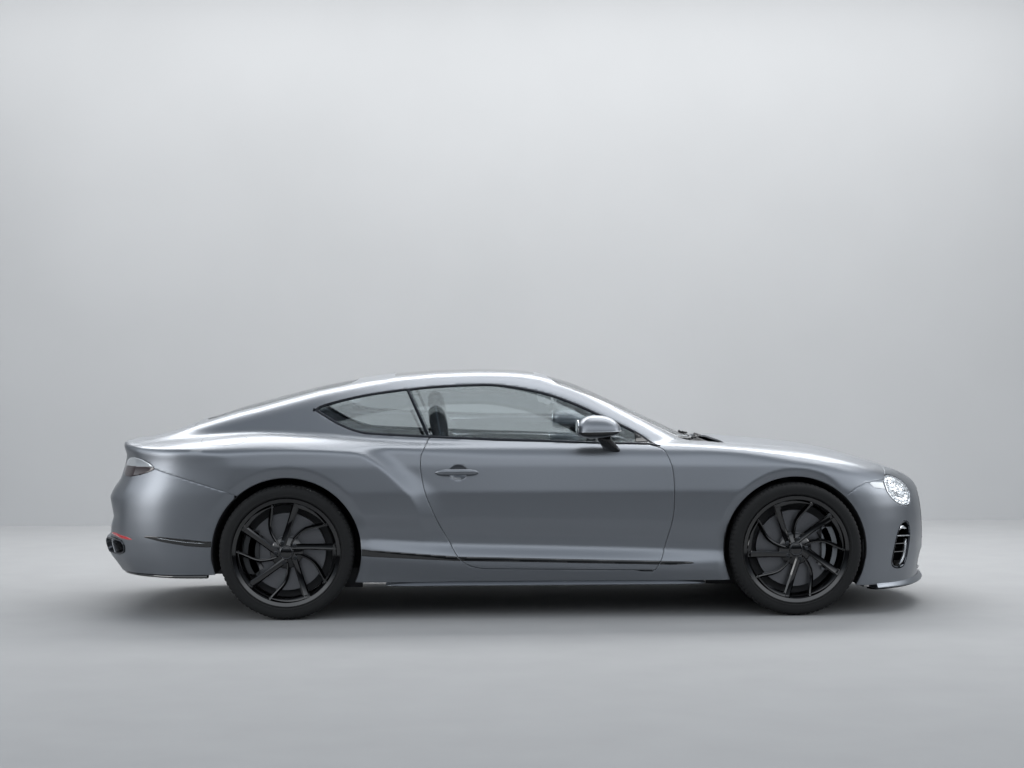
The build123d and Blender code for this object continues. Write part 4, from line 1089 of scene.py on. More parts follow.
# Vacuum-metallised reflector facets.
mirror_metal = surface("metallised_reflector", "e8eaec", 0.07, "dfe2e5", grain(8), "lamp_clear",
                       metallic=1.0)
# Frosted white light guide.
light_guide = surface("frosted_light_guide", "f1f4f6", 0.4, "f6f8f9", grain(5), "lamp_clear")
# Red acrylic lens, smoked so dark that it looks black unlit.
dark_red = surface("smoked_red_acrylic", "1d0e10", 0.05, "2a1012", grain(14), "lamp_rear",
                   coat_weight=1.0, coat_roughness=0.03)
# The lamp's upper half: pale silvery grey, a painted reflection of the light above on the lens.
painted_reflection_lens = surface("acrylic_painted_reflection", "c4c9cc", 0.12, "cdd1d4", grain(14), "lamp_rear",
                    metallic=0.5, coat_weight=1.0)
red_reflex = surface("red_reflex_acrylic", "a8141b", 0.1, "bb1a22", grain(6, 0.3, kind="cells"),
                     "lamp_rear", coat_weight=1.0)


def round_lamp(radius):
    """A circle round the headlamp's middle."""
    return oval(LAMP_Y, LAMP_Z, radius, radius, 72)


def crystal(u, v, share):
    """Cut facets round the bowl: a saw-tooth in angle, deeper half way out."""
    angle = np.arctan2(v - LAMP_Z, u - LAMP_Y)
    saw = np.abs(np.mod(angle * 20 / math.pi, 2) - 1)
    rings = np.abs(np.mod(share * 5, 2) - 1)
    facets = (7 * saw + 6 * rings) * ease((share - 0.42) / 0.1) * ease((0.97 - share) / 0.1)
    return facets + 22 * ease((0.4 - share) / 0.05)


both_sides("headlamp_bowl", patch(ahead, round_lamp(89), 22, -8, -26, 8, crystal), mirror_metal,
           replaces=["headlamps"], sharp=12)
both_sides("headlamp_ring", bead(ahead, round_lamp(86), 4.5, -1, 12, closed=True, per=1),
           satin_metal)
both_sides("headlamp_guide", bead(ahead, round_lamp(66), 4, -7, 10, closed=True, per=1),
           light_guide)
both_sides("headlamp_seal", bead(ahead, round_lamp(92), 2.2, -0.6, 8, closed=True, per=1),
           matte_black)
both_sides("headlamp_lens", patch(ahead, round_lamp(89.5), 14, -1, 7, 3), lens)
panel("brow_lamp_left", aside, (1900, 2100), (700, 755),
      [side_in(BROW, 1), outside(across_in(LAMP, 1), 4)], light_guide, step=6, depth=8, proud=0.5)
panel("tail_lens_left", hull, (-1650, -2700), (120, 420),
      [lambda p: tail_lamp(p) - 1.5, beyond(2, 846, -1)], dark_red, replaces=["tail_lamps"], step=7,
      depth=20, proud=1.0)
# The tail lamp's upper half takes the pale colour of a painted reflection.
panel("tail_lens_top_left", hull, (-1650, -2700), (120, 420),
      [lambda p: tail_lamp(p) - 1.5, beyond(2, 847.5)], painted_reflection_lens, step=7, depth=20, proud=1.0)
both_sides("reflector",
           bead(behind, [(600, 462), (680, 459), (760, 449), (812, 440)], 9, 2, 5, taper=0.25),
           red_reflex)

# ---- openings at both ends ------------------------------------------------------------------
def mirrored_outline(half):
    """A half outline that starts and ends on the middle line, with its other half, as (y, z)."""
    half = np.array(half, float)
    return np.vstack([half, (half * [-1, 1])[::-1][1:-1]])


def lattice(outline, pitch, half, proud):
    """Bars crossed at 45 degrees inside an outline in front view, kept to the runs within it."""
    low, high = outline.min(0), outline.max(0)
    tall = high[1] - low[1]
    t = np.linspace(0, 1, 60)
    v = low[1] + t * tall
    parts = []
    for slant in (1, -1):
        for start in np.arange(low[0] - tall, high[0] + tall, pitch):
            u = start + slant * (t - 0.5) * tall + 0.5 * tall
            run = np.flatnonzero(signed(outline, u, v) > -2)
            if len(run) >= 4:
                parts.append(bead(ahead, np.stack([u, v], 1)[run[0]:run[-1] + 1][::2], half,
                                  half * 0.8, half * 2, smooth=False, proud=proud - 2 * (slant < 0),
                                  sides=6))
    return joined(*parts)


grille_whole, low_whole = mirrored_outline(GRILLE), mirrored_outline(LOW_INTAKE)
one("grille_back", patch(ahead, grille_whole * [1.03, 1], 10, -64, 0, 5), matte_black)
one("grille_mesh", lattice(inset(grille_whole, -4), 27, 2.6, -16), gloss_black,
    replaces=["grilles"])
one("grille_frame",
    bead(ahead, spline(inset(grille_whole, -1), 0, True, 4), 7, 2, 18, closed=True, smooth=False),
    moulding)
one("grille_spine", bead(ahead, [(0, 390), (0, 480), (0, 580), (0, 676)], 6, -6, 12), gloss_black)
one("intake_back", patch(ahead, low_whole * [1.02, 1], 8, -60, 0, 5), matte_black)
one("intake_mesh", lattice(inset(low_whole, -4), 27, 2.6, -20), gloss_black)
one("intake_frame",
    bead(ahead, spline(inset(low_whole, -1), 0, True, 4), 6, 1.5, 18, closed=True, smooth=False),
    gloss_black)
both_sides("side_intake_back", patch(ahead, SIDE_INTAKE, 8, -62, 0, 5), matte_black)
both_sides("side_intake_frame", bead(ahead, inset(SIDE_INTAKE, -1), 6, 2, 22, closed=True),
           moulding)
both_sides("side_intake_blades", joined(*[bead(
    ahead, [(752, z), (790, z + 2), (836, z + 4)], 3.5, -6, 26) for z in (338, 384)]), gloss_black)
both_sides("side_intake_bar", bead(ahead, [(742, 428), (780, 431), (826, 433)], 4.5, 2, 14),
           satin_metal)
both_sides("side_intake_vane",
           bead(ahead, [(762, 410), (766, 350), (778, 300), (800, 266)], 11, -4, 22, taper=0.3),
           satin_metal)
both_sides("side_intake_lamp",
           bead(ahead, [(762, 470), (790, 480), (812, 466)], 9, -4, 16, taper=0.3), mirror_metal)

# Physical-vapour-coated steel, smoke grey.
dark_metal = surface("smoke_coated_steel", "4a4c50", 0.2, "55575b", grain(6), "steel_tip",
                     metallic=0.95)

# ---- tail -----------------------------------------------------------------------------------
both_sides("exhaust_back", patch(behind, EXHAUST, 8, -150, 0, 5), matte_black)
both_sides("exhaust_finisher", bead(behind, inset(EXHAUST, 8), 6, 7, 60, closed=True), dark_metal,
           replaces=["exhaust_tips"])
both_sides("exhaust_split", bead(behind, [(648, 350), (648, 392), (648, 437)], 5, 2, 60),
           satin_metal)
DARK_BAND = [(-1560, 405), (-1700, 407), (-1790, 406), (-1900, 414), (-2030, 434), (-2120, 452),
             (-2170, 462), (-2110, 463), (-2020, 459), (-1900, 449), (-1790, 436), (-1700, 436),
             (-1560, 436)]
panel("rear_band_left", aside, (-2180, -1560), (400, 465),
      [side_in(DARK_BAND), arch_out(REAR_AXLE, REAR_ARCH + 3)], gloss_black, step=7, depth=5,
      proud=1.4)
both_sides("rear_band_line", bead(aside, [(-1800, 427), (-1900, 434), (-2000, 446), (-2070, 455)],
                                  2.2, 2.8, 4, taper=0.2), satin_metal)
low_u = np.linspace(-1775, TAIL_MIDDLE, 70)
low_plan = round_end(cast(hull, low_u, -400 + 0 * low_u)[0])
one("diffuser_blade", blade_along(low_plan, 3, 272, 44, 70), gloss_black,
    replaces=["rear_diffuser"])
one("diffuser_fins",
    boxes(*[(-2335, y - 3, 238, -2150, y + 3, 300, 2.5) for y in range(-400, 401, 100)]),
    gloss_black)
plate = [(-258, 512), (-265, 520), (-265, 622), (-258, 630), (0, 630), (258, 630), (265, 622),
         (265, 520), (258, 512), (0, 512)]
one("number_recess", bead(behind, plate, 2, 0.4, 3, closed=True, per=4), matte_black)

# ---- door furniture -------------------------------------------------------------------------
both_sides("handle_bowl", patch(aside, RECESS, 12, -1, -26, 4), paint, "door_left")
grip_x = np.linspace(-526, -286, 30)
grip_p, grip_n, _ = cast(aside, grip_x, HANDLE_Z + 0 * grip_x)
grip_s = np.linspace(-1, 1, 30)
grip_path = grip_p + grip_n * (19 * (1 - grip_s ** 4) + 3)[:, None]
both_sides("door_grip", sweep(grip_path, [0, 0, 1.0], grip_n, disc_section(18, 2.2),
                              16.5 * np.sqrt(np.clip(1 - grip_s ** 6, 0.03, 1)),
                              9.5 - 2 * grip_s ** 4), paint, "door_left")


def mirror_shape(top):
    """A dome over a rounded plan, cut flat where the mirror glass sits."""
    outline = circle(64)
    uv, tris, t = disc_grid(np.stack([np.cos(outline), np.sin(outline)], 1), 18)
    t = t ** 0.72
    angle = np.arctan2(uv[:, 1], uv[:, 0])
    x = 383 + 124 * t * squared(np.cos(angle)) * np.where(np.cos(angle) > 0, 1, 1.02)
    y = 985 + 99 * t * squared(np.sin(angle)) + 8 * np.cos(angle) * t
    edge = 1040 + 0.02 * (x - 383)
    z = edge + top * (1 - t ** 2.4) ** 0.55 * (1 - 0.12 * (x - 383) / 124)
    x = np.maximum(x, 264 + (0 if top > 0 else 4))
    under = np.column_stack([x, y, edge - (1 if top > 0 else -1)])
    over = np.column_stack([x, y, z])
    count = len(over)
    rim = rim_of(tris)
    side = np.stack([rim[:, 1], rim[:, 0], rim[:, 0] + count, rim[:, 1] + count], 1)
    return outward(np.vstack([over, under]), [np.vstack([tris, tris[:, ::-1] + count]), side])


both_sides("mirror_cap", mirror_shape(89), paint, "door_left", replaces=["mirror_left"])
both_sides("mirror_bowl", mirror_shape(-38), gloss_black, "door_left")
lip_a = circle(80)
lip = np.column_stack([np.maximum(383 + 125.5 * squared(np.cos(lip_a)), 263),
                       985 + 100.5 * squared(np.sin(lip_a)) + 8 * np.cos(lip_a),
                       1040 + 2.5 * np.cos(lip_a)])
lip_side = np.column_stack([np.cos(lip_a), np.sin(lip_a), 0 * lip_a])
both_sides("mirror_lip", sweep(lip, lip_side, [0, 0, 1.0], disc_section(8), 3, 2.6, True),
           satin_metal, "door_left")
foot = spline([(470, 872, 928), (462, 898, 944), (440, 930, 968), (418, 960, 996),
               (408, 975, 1012)], 16)
both_sides("mirror_foot", sweep(foot, [0.97, 0, -0.24], [0.15, -0.6, 0.78], disc_section(20, 3),
                                np.linspace(56, 44, 16), np.linspace(20, 15, 16)), gloss_black,
           "door_left")
glass_a = circle(40)
mirror_face = [np.column_stack([0 * glass_a + x, 986 + r * 82 * squared(np.cos(glass_a)),
                                1066 + r * 44 * squared(np.sin(glass_a))])
               for x, r in ((266, 0.98), (262, 1.0), (260.5, 0.96), (260, 0.6))]
both_sides("mirror_glass", loft(mirror_face), mirror_metal, "door_left", slot="glass")

# ---- seams, flap, screen edge, wipers -------------------------------------------------------
flap = [(-1704 + 129 * math.cos(a), 996 + 29 * math.sin(a) + 4 * math.cos(a))
        for a in circle(40)]
points, faces = bead(aside, flap, 1.5, 0.25, 2, closed=True, per=2, sides=6)
one("fuel_flap_seam_right", flip(points, faces), matte_black)
screen_edge = spline([(1002, 300), (955, 505), (868, 604), (560, 614), (291, 592), (180, 566)], 60)
both_sides("screen_seal", bead(above, screen_edge, 7, 1.2, 6, smooth=False), gloss_black)
one("screen_foot_seal",
    bead(above, [(1002, -300), (1016, -150), (1019, 0), (1016, 150), (1002, 300)], 7, 1.2, 6),
    gloss_black)
cut_end = [(1175, 0), (1175, 760), (1080, 742), (962, 700), (905, 640), (905, 0)]
panel("cowl_tray", above, (900, 1140), (-740, 740),
      [plan_out(WINDSCREEN, 3), plan_out(BONNET, 48), plan_in(cut_end, 6)], matte_black,
      replaces=["cowl_panel"], step=13, depth=10, proud=-16)
panel("cowl_gutter", above, (930, 1140), (-700, 700),
      [plan_out(WINDSCREEN, 20), plan_in(cut_end, 20)], matte_black, step=20, depth=5, proud=-88)
for number, (pivot, tip) in enumerate([((1060, 470), (985, -60)), ((1062, -60), (990, -560))]):
    route = spline([(pivot[0], pivot[1]),
                    (0.5 * (pivot[0] + tip[0]) + 28, 0.5 * (pivot[1] + tip[1])), tip], 24)
    arm_p, arm_n, _ = cast(above, route[:, 0], route[:, 1], 9)
    across, up = frames(arm_p, arm_n)
    arm = sweep(arm_p, across, up, disc_section(8, 2.6), np.linspace(9, 4, 24),
                np.linspace(7, 4, 24))
    blade_p, blade_n, _ = cast(above, route[6:, 0] - 20, route[6:, 1], 4)
    across, up = frames(blade_p, blade_n)
    one(f"wiper_{number}", joined(arm, sweep(blade_p, across, up, disc_section(8, 2.6), 6, 7)),
        matte_black)


# ---- wheels ---------------------------------------------------------------------------------
# Tyre compound: carbon-black rubber, dull with a faint bloom.
rubber = surface("tyre_rubber", "0a0b0c", 0.8, "151617", grain(90), "tyre_rubber",
                 specular_ior_level=0.4)
# Cast aluminium wheel in gloss black powder coat.
wheel_black = surface("gloss_black_powder_coat", "050506", 0.08, "08080a", grain(30), "rim_black",
                      metallic=0.2, coat_weight=0.8, coat_roughness=0.06)
# Ground cast iron with fine circular scoring.
disc_iron = surface("ground_cast_iron", "66676a", 0.34, "747578", grain(2.5), metallic=0.9)
# Painted caliper, silk black.
caliper_black = surface("silk_black_enamel", "101113", 0.3, "15161a", grain(12), "suspension_metal",
                        coat_weight=0.3)
# Zinc-plated and blackened wheel bolts.
bolt_metal = surface("black_chromed_steel", "3b3d40", 0.24, "46484b", grain(3), "steel_tip",
                     metallic=0.9)

WHEEL_Y = 973.0            # outer face of the tyre


def tyre(axle, width):
    """A closed tyre profile turned round the axle: five ribs with sipes on the shoulders."""
    half = width / 2
    middle = WHEEL_Y - half
    side = [(284, -24), (299, -20), (303.5, -13), (306, -6), (311, -2.2), (316, -1.6), (318, -2.6),
            (334, 0), (346, -1.4), (357, -5), (364, -11), (368.5, -18), (371, -26)]
    tread = []
    for groove in (0.62, 0.22, -0.22, -0.62):
        at, crown = groove * half, 373.2 - 2.0 * groove ** 4
        tread += [(crown, at + 7), (366.5, at + 4.5), (366.5, at - 4.5), (crown, at - 7)]
    bore = [(300, -half + 16), (352, -half + 22), (360, 0), (352, half - 22), (300, half - 16)]
    profile = ([(r, half + y) for r, y in side] + tread + [(r, -half - y) for r, y in side][::-1]
               + bore)

    def sipes(angle, y):
        on_shoulder = np.abs(y - middle) > 0.66 * half
        wide = np.abs(y - middle) < half - 9
        return 4.5 * (np.mod(angle * 84 / math.pi, 2) < 0.5) * on_shoulder * wide
    return turned([(r, middle + y) for r, y in profile], axle, 336, sipes)


def bar(path, out_y, half, thick, bevel, lean=0.0):
    """A wheel spoke: a flat face with bevelled long edges, carried along (x, z) points round the
    wheel's centre; out_y is its face's place across the car, half its half width."""
    path = np.array(path, float)
    points = np.column_stack([path[:, 0], np.broadcast_to(out_y, len(path)), path[:, 1]])
    along = np.gradient(points, axis=0)
    along /= np.linalg.norm(along, axis=1, keepdims=True)
    across = np.cross(along, [0, 1.0, 0])
    across /= np.linalg.norm(across, axis=1, keepdims=True)
    tilt = math.radians(lean)
    side = across * math.cos(tilt) + np.array([0, 1.0, 0]) * math.sin(tilt)
    up = np.array([0, 1.0, 0]) * math.cos(tilt) - across * math.sin(tilt)
    section = [(-1, -bevel), (-1 + 1.4 * bevel, -0.02), (-0.1, -0.05), (1 - 1.4 * bevel, -0.02),
               (1, -bevel), (0.86, -1), (-0.86, -1)]
    return sweep(points, side, up, section, half, thick)


def rim(axle, tyre_width, first_angle):
    """Barrel with flanges, hub with a bare cap, and five pairs of spokes: a straight flat bar that
    passes beside the hub, and a thin curved blade, with a web along the rim between their ends."""
    inner_y = WHEEL_Y - tyre_width
    barrel = turned([(281, WHEEL_Y - 26), (296, WHEEL_Y - 23), (302, WHEEL_Y - 15),
                     (303.5, WHEEL_Y - 8), (302.5, WHEEL_Y - 5.5), (300, WHEEL_Y - 5.5),
                     (298, WHEEL_Y - 9), (290, WHEEL_Y - 12), (279, WHEEL_Y - 16),
                     (274, WHEEL_Y - 26), (270, WHEEL_Y - 60), (266, WHEEL_Y - 110),
                     (270, inner_y + 20), (281, inner_y + 10), (286, inner_y + 14),
                     (276, inner_y + 30), (272, WHEEL_Y - 105), (276, WHEEL_Y - 60)], axle, 144)
    hub = turned([(0.5, 955), (34, 955), (37, 953.5), (39, 949), (40, 944), (45, 942), (80, 939),
                  (90, 930), (94, 905), (0.5, 905)], axle, 80)
    spokes = []
    t, s = np.linspace(0, 1, 14), np.linspace(0, 1, 16)
    for k in range(5):
        a = math.radians(first_angle + 72 * k)
        way, across = np.array([math.cos(a), math.sin(a)]), np.array([-math.sin(a), math.cos(a)])
        path = way * (22 + 252 * t)[:, None] + across * (33 - 3 * t)[:, None]
        spokes.append(bar(path, 950 - 7 * np.sin(math.pi * t) + 9 * t ** 3,
                          16.5 + 3.5 * (t - 0.4) ** 2 * 4, 26, 0.3, -6))
        radius = np.interp(t, [0, 0.42, 0.68, 1], [60, 156, 206, 275])
        swing = np.interp(radius, [60, 156, 206, 240, 275], [27, 18.5, 8, 3, 0])
        swing = np.convolve(np.pad(swing, 2, "edge"), [0.2] * 5, "valid")
        b = a + math.radians(33.4) + np.radians(swing)
        path = np.column_stack([radius * np.cos(b), radius * np.sin(b)])
        spokes.append(bar(path, 946 - 6 * np.sin(math.pi * t) + 12 * t ** 3, 9.5 + 3 * t, 30, 0.45,
                          14))
        b = a - np.radians(np.linspace(-9, 39, 16))
        path = np.column_stack([264 * np.cos(b), 264 * np.sin(b)])
        spokes.append(bar(path, 958.0, np.interp(s, [0, 0.15, 0.6, 1], [5, 17, 10, 3]), 24, 0.3,
                          10))
    return joined(barrel, hub, *[(p + [axle, 0, AXLE_Z], faces) for p, faces in spokes])


def bolts(axle, first_angle):
    """Five wheel bolts with round heads in their seats, and the bare cap's rim."""
    profile = np.array([(0.3, 953), (7, 953), (8.5, 951.5), (9.5, 948), (13, 947), (13.5, 940),
                        (0.3, 940)])
    turn = circle(18)[:, None]
    parts = []
    for k in range(5):
        x, _, z = about_axle(57.0, math.radians(first_angle + 40 + 72 * k), 0.0, 0)
        points = np.stack([axle + x + profile[:, 0] * np.cos(turn), profile[:, 1] + 0 * turn,
                           z + profile[:, 0] * np.sin(turn)], -1).reshape(-1, 3)
        parts.append(outward(points, [grid_faces(18, len(profile), True, True)]))
    return joined(*parts, turned([(31, 957.5), (33, 958.2), (35, 957), (34, 955)], axle, 64))


def caliper(axle, facing):
    """A caliper over the disc's edge: a crowned closed section turned through part of a circle."""
    section = np.array([(150, 0), (158, 38), (176, 50), (214, 50), (236, 40), (244, 14), (244, -14),
                        (236, -42), (176, -51), (156, -40)], float)
    profile = np.stack([section[:, 0], 865 + section[:, 1]], 1)
    middle = 0.0 if facing > 0 else math.pi
    half = 0.6
    points, faces = turned(profile, axle, 26, None, (middle - half, middle + half))
    ends = len(profile)
    points = np.vstack([points, points[:ends].mean(0), points[-ends:].mean(0)])
    faces = faces + [np.vstack([fan_cap(0, ends, len(points) - 2, True),
                                fan_cap(25 * ends, ends, len(points) - 1, False)])]
    return outward(points, faces)


for place, axle, width, first_angle in (("front", FRONT_AXLE, 275.0, 36.0),
                                        ("rear", REAR_AXLE, 315.0, 0.0)):
    rides = f"wheel_{place}_left"
    both_sides(f"{place}_tyre", tyre(axle, width), rubber, rides, replaces=[f"tyre_{place}_left"])
    both_sides(f"{place}_rim", rim(axle, width, first_angle), wheel_black, rides,
               replaces=[f"rim_{place}_left"], sharp=38)
    both_sides(f"{place}_bolts", bolts(axle, first_angle), bolt_metal, rides)
    holder = "knuckle_left" if place == "front" else "body"
    both_sides(f"{place}_caliper", caliper(axle, 1 if place == "front" else -1), caliper_black,
               holder)
    # Matte black brake dust shields behind the discs; they also stand in for the shade inside the
    # wheels as painted shade, closing the view through to the lit floor.
    both_sides(f"{place}_backplate",
               turned([(112, 841), (256, 841), (259, 838), (256, 835), (112, 835)], axle, 72),
               matte_black, holder, slot="suspension_metal")


# ---- cabin ----------------------------------------------------------------------------------
# Semi-aniline hide, fine pore grain.
hide = surface("dark_hide", "23262b", 0.5, "2b2e34", grain(1.8, 0.12, kind="cells"), "leather_dark",
               coat_weight=0.08)
# The same hide in a second, lighter colour, for piping and the door's waist.
pale_hide = surface("slate_hide", "4a505a", 0.55, "525964", grain(1.8, 0.12, kind="cells"),
                    "leather_dark")
# Looped wool carpet.
carpet = surface("wool_carpet", "17181b", 0.95, "232428", grain(3.0, 1.2, kind="cells"),
                 "leather_dark", sheen_weight=0.3)
# Woven headlining, fine knit.
headlining = surface("knitted_headlining", "868d97", 0.9, "8f96a0", grain(2.2, 0.25),
                     "leather_dark", sheen_weight=0.2)
# Piano-lacquered veneer, near black.
veneer = surface("lacquered_veneer", "15100d", 0.07, "241a13", grain(60, detail=8.0), "gloss_black",
                 coat_weight=1.0, coat_roughness=0.03)


def cushion(middle, across, along, half_w, half_l, thick, back=0.4, channels=0, groove=7.0,
            bolster=0.0, crown=0.06, pull=0.05, taper=0.0, count=56):
    """A padded form on a grid of (s, t) from -1 to 1: its two faces rise from a shared seam as
    (1 - s^6)(1 - t^6) to the power 0.4; sewn channels press lines in along t, bolsters lift both
    sides, and the sides pull in between the corners."""
    across, along = np.array(across, float), np.array(along, float)
    up = np.cross(across, along)
    edge = np.sin(np.linspace(-math.pi / 2, math.pi / 2, count))
    s, t = np.meshgrid(edge, edge, indexing="ij")
    fall = (np.clip(1 - np.abs(s) ** 6, 0, 1) * np.clip(1 - np.abs(t) ** 6, 0, 1)) ** 0.4
    wide = half_w * s * (1 - pull * (1 - t ** 2)) * (1 - taper * (t + 1) / 2)
    long = half_l * t * (1 - pull * (1 - s ** 2) * 0.6)
    rise = thick * fall * (1 + crown * (1 - s ** 2) * (1 - t ** 2) * 4)
    if bolster:
        towards_end = ease((np.abs(t) - 0.7) / 0.3)
        rise = rise + bolster * fall * ease((np.abs(s) - 0.62) / 0.2) * (1 - 0.4 * towards_end)
    if channels:
        phase = np.abs(np.mod((s / 0.6 + 1) * channels / 2 + 0.5, 1) - 0.5) * 2
        dip = np.exp(-((1 - phase) / 0.16) ** 2) * (np.abs(s) < 0.62)
        rise = rise - groove * (dip * ease((0.86 - np.abs(t)) / 0.08))
        rise = rise - groove * np.exp(-((np.abs(s) - 0.62) / 0.03) ** 2) * fall
    top, bottom = [(np.array(middle) + wide[..., None] * across + long[..., None] * along
                    + h[..., None] * up).reshape(-1, 3) for h in (rise, -back * thick * fall)]
    quads = grid_faces(count, count)
    total = count * count
    ring = np.r_[np.arange(count), np.arange(1, count) * count + count - 1,
                 (count - 1) * count + np.arange(count - 2, -1, -1),
                 np.arange(count - 2, 0, -1) * count]
    side = np.stack([ring, np.roll(ring, -1), np.roll(ring, -1) + total, ring + total], 1)
    seam_line = top[ring]
    points = np.vstack([top, bottom])
    return outward(points, [np.vstack([quads, quads[:, ::-1] + total, side])]), seam_line


def piped(name, made, material, body_name="body", replaces=(), pipe=4.0, twin=True):
    """A cushion with a piped seam, on both sides of the car if twin."""
    part, line_points = made
    names = [("_left", 1), ("_right", -1)] if twin else [("", 1)]
    for suffix, sign in names:
        points, faces = part if sign > 0 else flip(*part)
        pad = add_mesh(name + suffix, points, faces, material, body_name, "leather_dark", replaces,
                       sharp=0)
        route = line_points * [1, sign, 1]
        keep = route[::2]
        step = np.roll(keep, -1, 0) - np.roll(keep, 1, 0)
        step /= np.linalg.norm(step, axis=1, keepdims=True) + 1e-9
        middle = points.mean(0)
        out = keep - middle
        out -= step * (out * step).sum(1, keepdims=True)
        out /= np.linalg.norm(out, axis=1, keepdims=True) + 1e-9
        one(name + "_piping" + suffix,
            sweep(keep, out, np.cross(step, out), disc_section(8), pipe, pipe, True),
            hide if material is pale_hide else pale_hide, body_name, slot="leather_dark")


def tilted(degrees):
    """Unit direction in the car's side plane, leaning back from straight up."""
    a = math.radians(degrees)
    return np.array([-math.sin(a), 0, math.cos(a)])


back_way = tilted(17)
SEAT_Y, REAR_SEAT_Y = 372, 330      # middle of each front seat and of each rear one
piped("seat_base",
      cushion((-120, SEAT_Y, 430), (0, -1, 0), (0.985, 0, 0.17), 252, 262, 78, 0.9, 5, 8, 34), hide,
      replaces=["front_seats"])
piped("seat_back",
      cushion((-395, SEAT_Y, 720), (0, 1, 0), back_way, 248, 300, 70, 1.1, 5, 8, 36, taper=0.16),
      hide)
piped("headrest",
      cushion((-502, SEAT_Y, 1068), (0, 1, 0), tilted(10), 128, 98, 44, 1.1, 0, 0, 0, taper=0.1),
      hide)
for side, sign in (("left", 1), ("right", -1)):
    posts = [sweep([(-478, sign * SEAT_Y + dy, 960), (-496, sign * SEAT_Y + dy, 1020)], [1, 0, 0],
                   [0, 1, 0], disc_section(12), 6, 6) for dy in (-55, 55)]
    one(f"headrest_posts_{side}", joined(*posts), satin_metal)
    turn = circle(40)
    plinth = [np.column_stack([x + length * squared(np.cos(turn), 0.45),
                               sign * SEAT_Y + width * squared(np.sin(turn), 0.45), z + 0 * turn])
              for z, x, width, length in ((250, -120, 190, 215), (300, -120, 205, 235),
                                          (352, -122, 226, 250), (392, -124, 240, 258))]
    one(f"seat_plinth_{side}", loft(plinth), matte_black, slot="leather_dark")
piped("rear_squab",
      cushion((-760, REAR_SEAT_Y, 395), (0, -1, 0), (0.97, 0, 0.24), 205, 205, 66, 0.9, 4, 7, 24),
      hide, replaces=["rear_seats"])
piped("rear_backrest",
      cushion((-985, REAR_SEAT_Y, 640), (0, 1, 0), tilted(28), 205, 262, 56, 1.0, 4, 7, 24), hide)

# Instrument board: a section in side view carried across the car, set back at its ends.
BOARD_END = 742


def hood(y):
    """The instrument board's swell in front of the driver, from 0 to 1."""
    return math.exp(-((y - SEAT_Y) / 150) ** 2)


def set_back(y):
    """How far the instrument board stands further forward towards its ends."""
    return 60 * (abs(y) / BOARD_END) ** 3


board = spline([(985, 902), (900, 918), (800, 925), (690, 916), (618, 884), (604, 850), (628, 812),
                (640, 770), (618, 735), (640, 690), (700, 640), (760, 560), (830, 470), (960, 470)],
               60, False)
board_x, board_z = board[:, 0], board[:, 1]
one("instrument_board", loft([np.column_stack([
    board_x - 42 * hood(y) * ease((board_z - 760) / 60) + set_back(y), np.full(60, y),
    board_z + 22 * hood(y) * ease((board_z - 840) / 50)
]) for y in np.linspace(-BOARD_END, BOARD_END, 61)]), hide, replaces=["dashboard"])
one("fascia_veneer", loft([np.column_stack([
    604 - 38 * hood(y) + set_back(y) + np.array([4, 0, 6, 24, 24, 6]), np.full(6, y),
    np.array([842, 838, 818, 800, 838, 846.0])
]) for y in np.linspace(-700, 700, 50)]), veneer)
turn = circle(36)
spread = np.column_stack([0 * turn, np.cos(turn), np.sin(turn)])
for number, (x, y, z, radius) in enumerate([(560, 430, 862, 52), (560, 312, 862, 52),
                                            (602, 0, 850, 30), (602, -70, 850, 24),
                                            (602, 70, 850, 24)]):
    def dial_edge(share, shift=0.0):
        return np.column_stack([0 * turn + x + shift, y + share * radius * np.cos(turn),
                                z + share * radius * np.sin(turn)])
    one(f"dial_ring_{number}", sweep(dial_edge(1), spread, [-1, 0, 0], disc_section(8), 4, 5, True),
        satin_metal)
    one(f"dial_face_{number}", loft([dial_edge(k, d) for d, k in ((8, 0.98), (3, 0.98), (2, 0.5))]),
        gloss_black)
CONSOLE_FOOT = 262
turn = circle(32)
console = [np.column_stack([
    0 * turn + x, width * squared(np.cos(turn), 0.5),
    (top + CONSOLE_FOOT) / 2 + (top - CONSOLE_FOOT) / 2 * squared(np.sin(turn), 0.4)])
    for x, width, top in ((640, 120, 690), (560, 128, 640), (420, 128, 585), (200, 124, 560),
                          (-60, 122, 575), (-250, 118, 590), (-420, 112, 585), (-450, 108, 560))]
one("centre_console", loft(console), hide)
one("console_top", boxes((150, -88, 558, 560, 88, 582, 8)), veneer)
piped("armrest", cushion((-200, 0, 600), (0, -1, 0), (1, 0, -0.02), 92, 190, 34, 0.5, 0, 0, 0),
      hide, twin=False)
selector = [np.column_stack([430 + 20 * k * np.cos(turn), 18 * k * np.sin(turn), 0 * turn + z])
            for z, k in ((580, 1.3), (592, 0.7), (628, 0.62), (640, 1.1), (664, 1.25), (674, 1.0),
                         (677, 0.6))]
one("selector", loft(selector), satin_metal)

# Steering wheel, tilted towards the driver, with a bare hub pad and three spokes.
wheel_middle, wheel_tilt = np.array([442.0, 370.0, 820.0]), math.radians(24)
wheel_out = np.array([-math.cos(wheel_tilt), 0, math.sin(wheel_tilt)])
wheel_side = np.array([0, 1.0, 0])
wheel_up = np.array([math.sin(wheel_tilt), 0, math.cos(wheel_tilt)])
turn = circle(96)
ring_way = np.cos(turn)[:, None] * wheel_side + np.sin(turn)[:, None] * wheel_up
one("steering_rim", sweep(wheel_middle + 178 * ring_way, ring_way, wheel_out, disc_section(16),
                          13 + 1.5 * np.cos(4 * turn), 16, True), hide, replaces=["steering_wheel"])
hub_way = (squared(np.cos(turn), 0.7)[:, None] * wheel_side * 62
           + squared(np.sin(turn), 0.7)[:, None] * wheel_up * 52)
one("steering_hub", loft([wheel_middle + wheel_out * d + k * hub_way
                          for d, k in ((-30, 0.7), (-10, 0.95), (6, 1.0), (16, 0.9), (20, 0.6))]),
    hide)
spokes = []
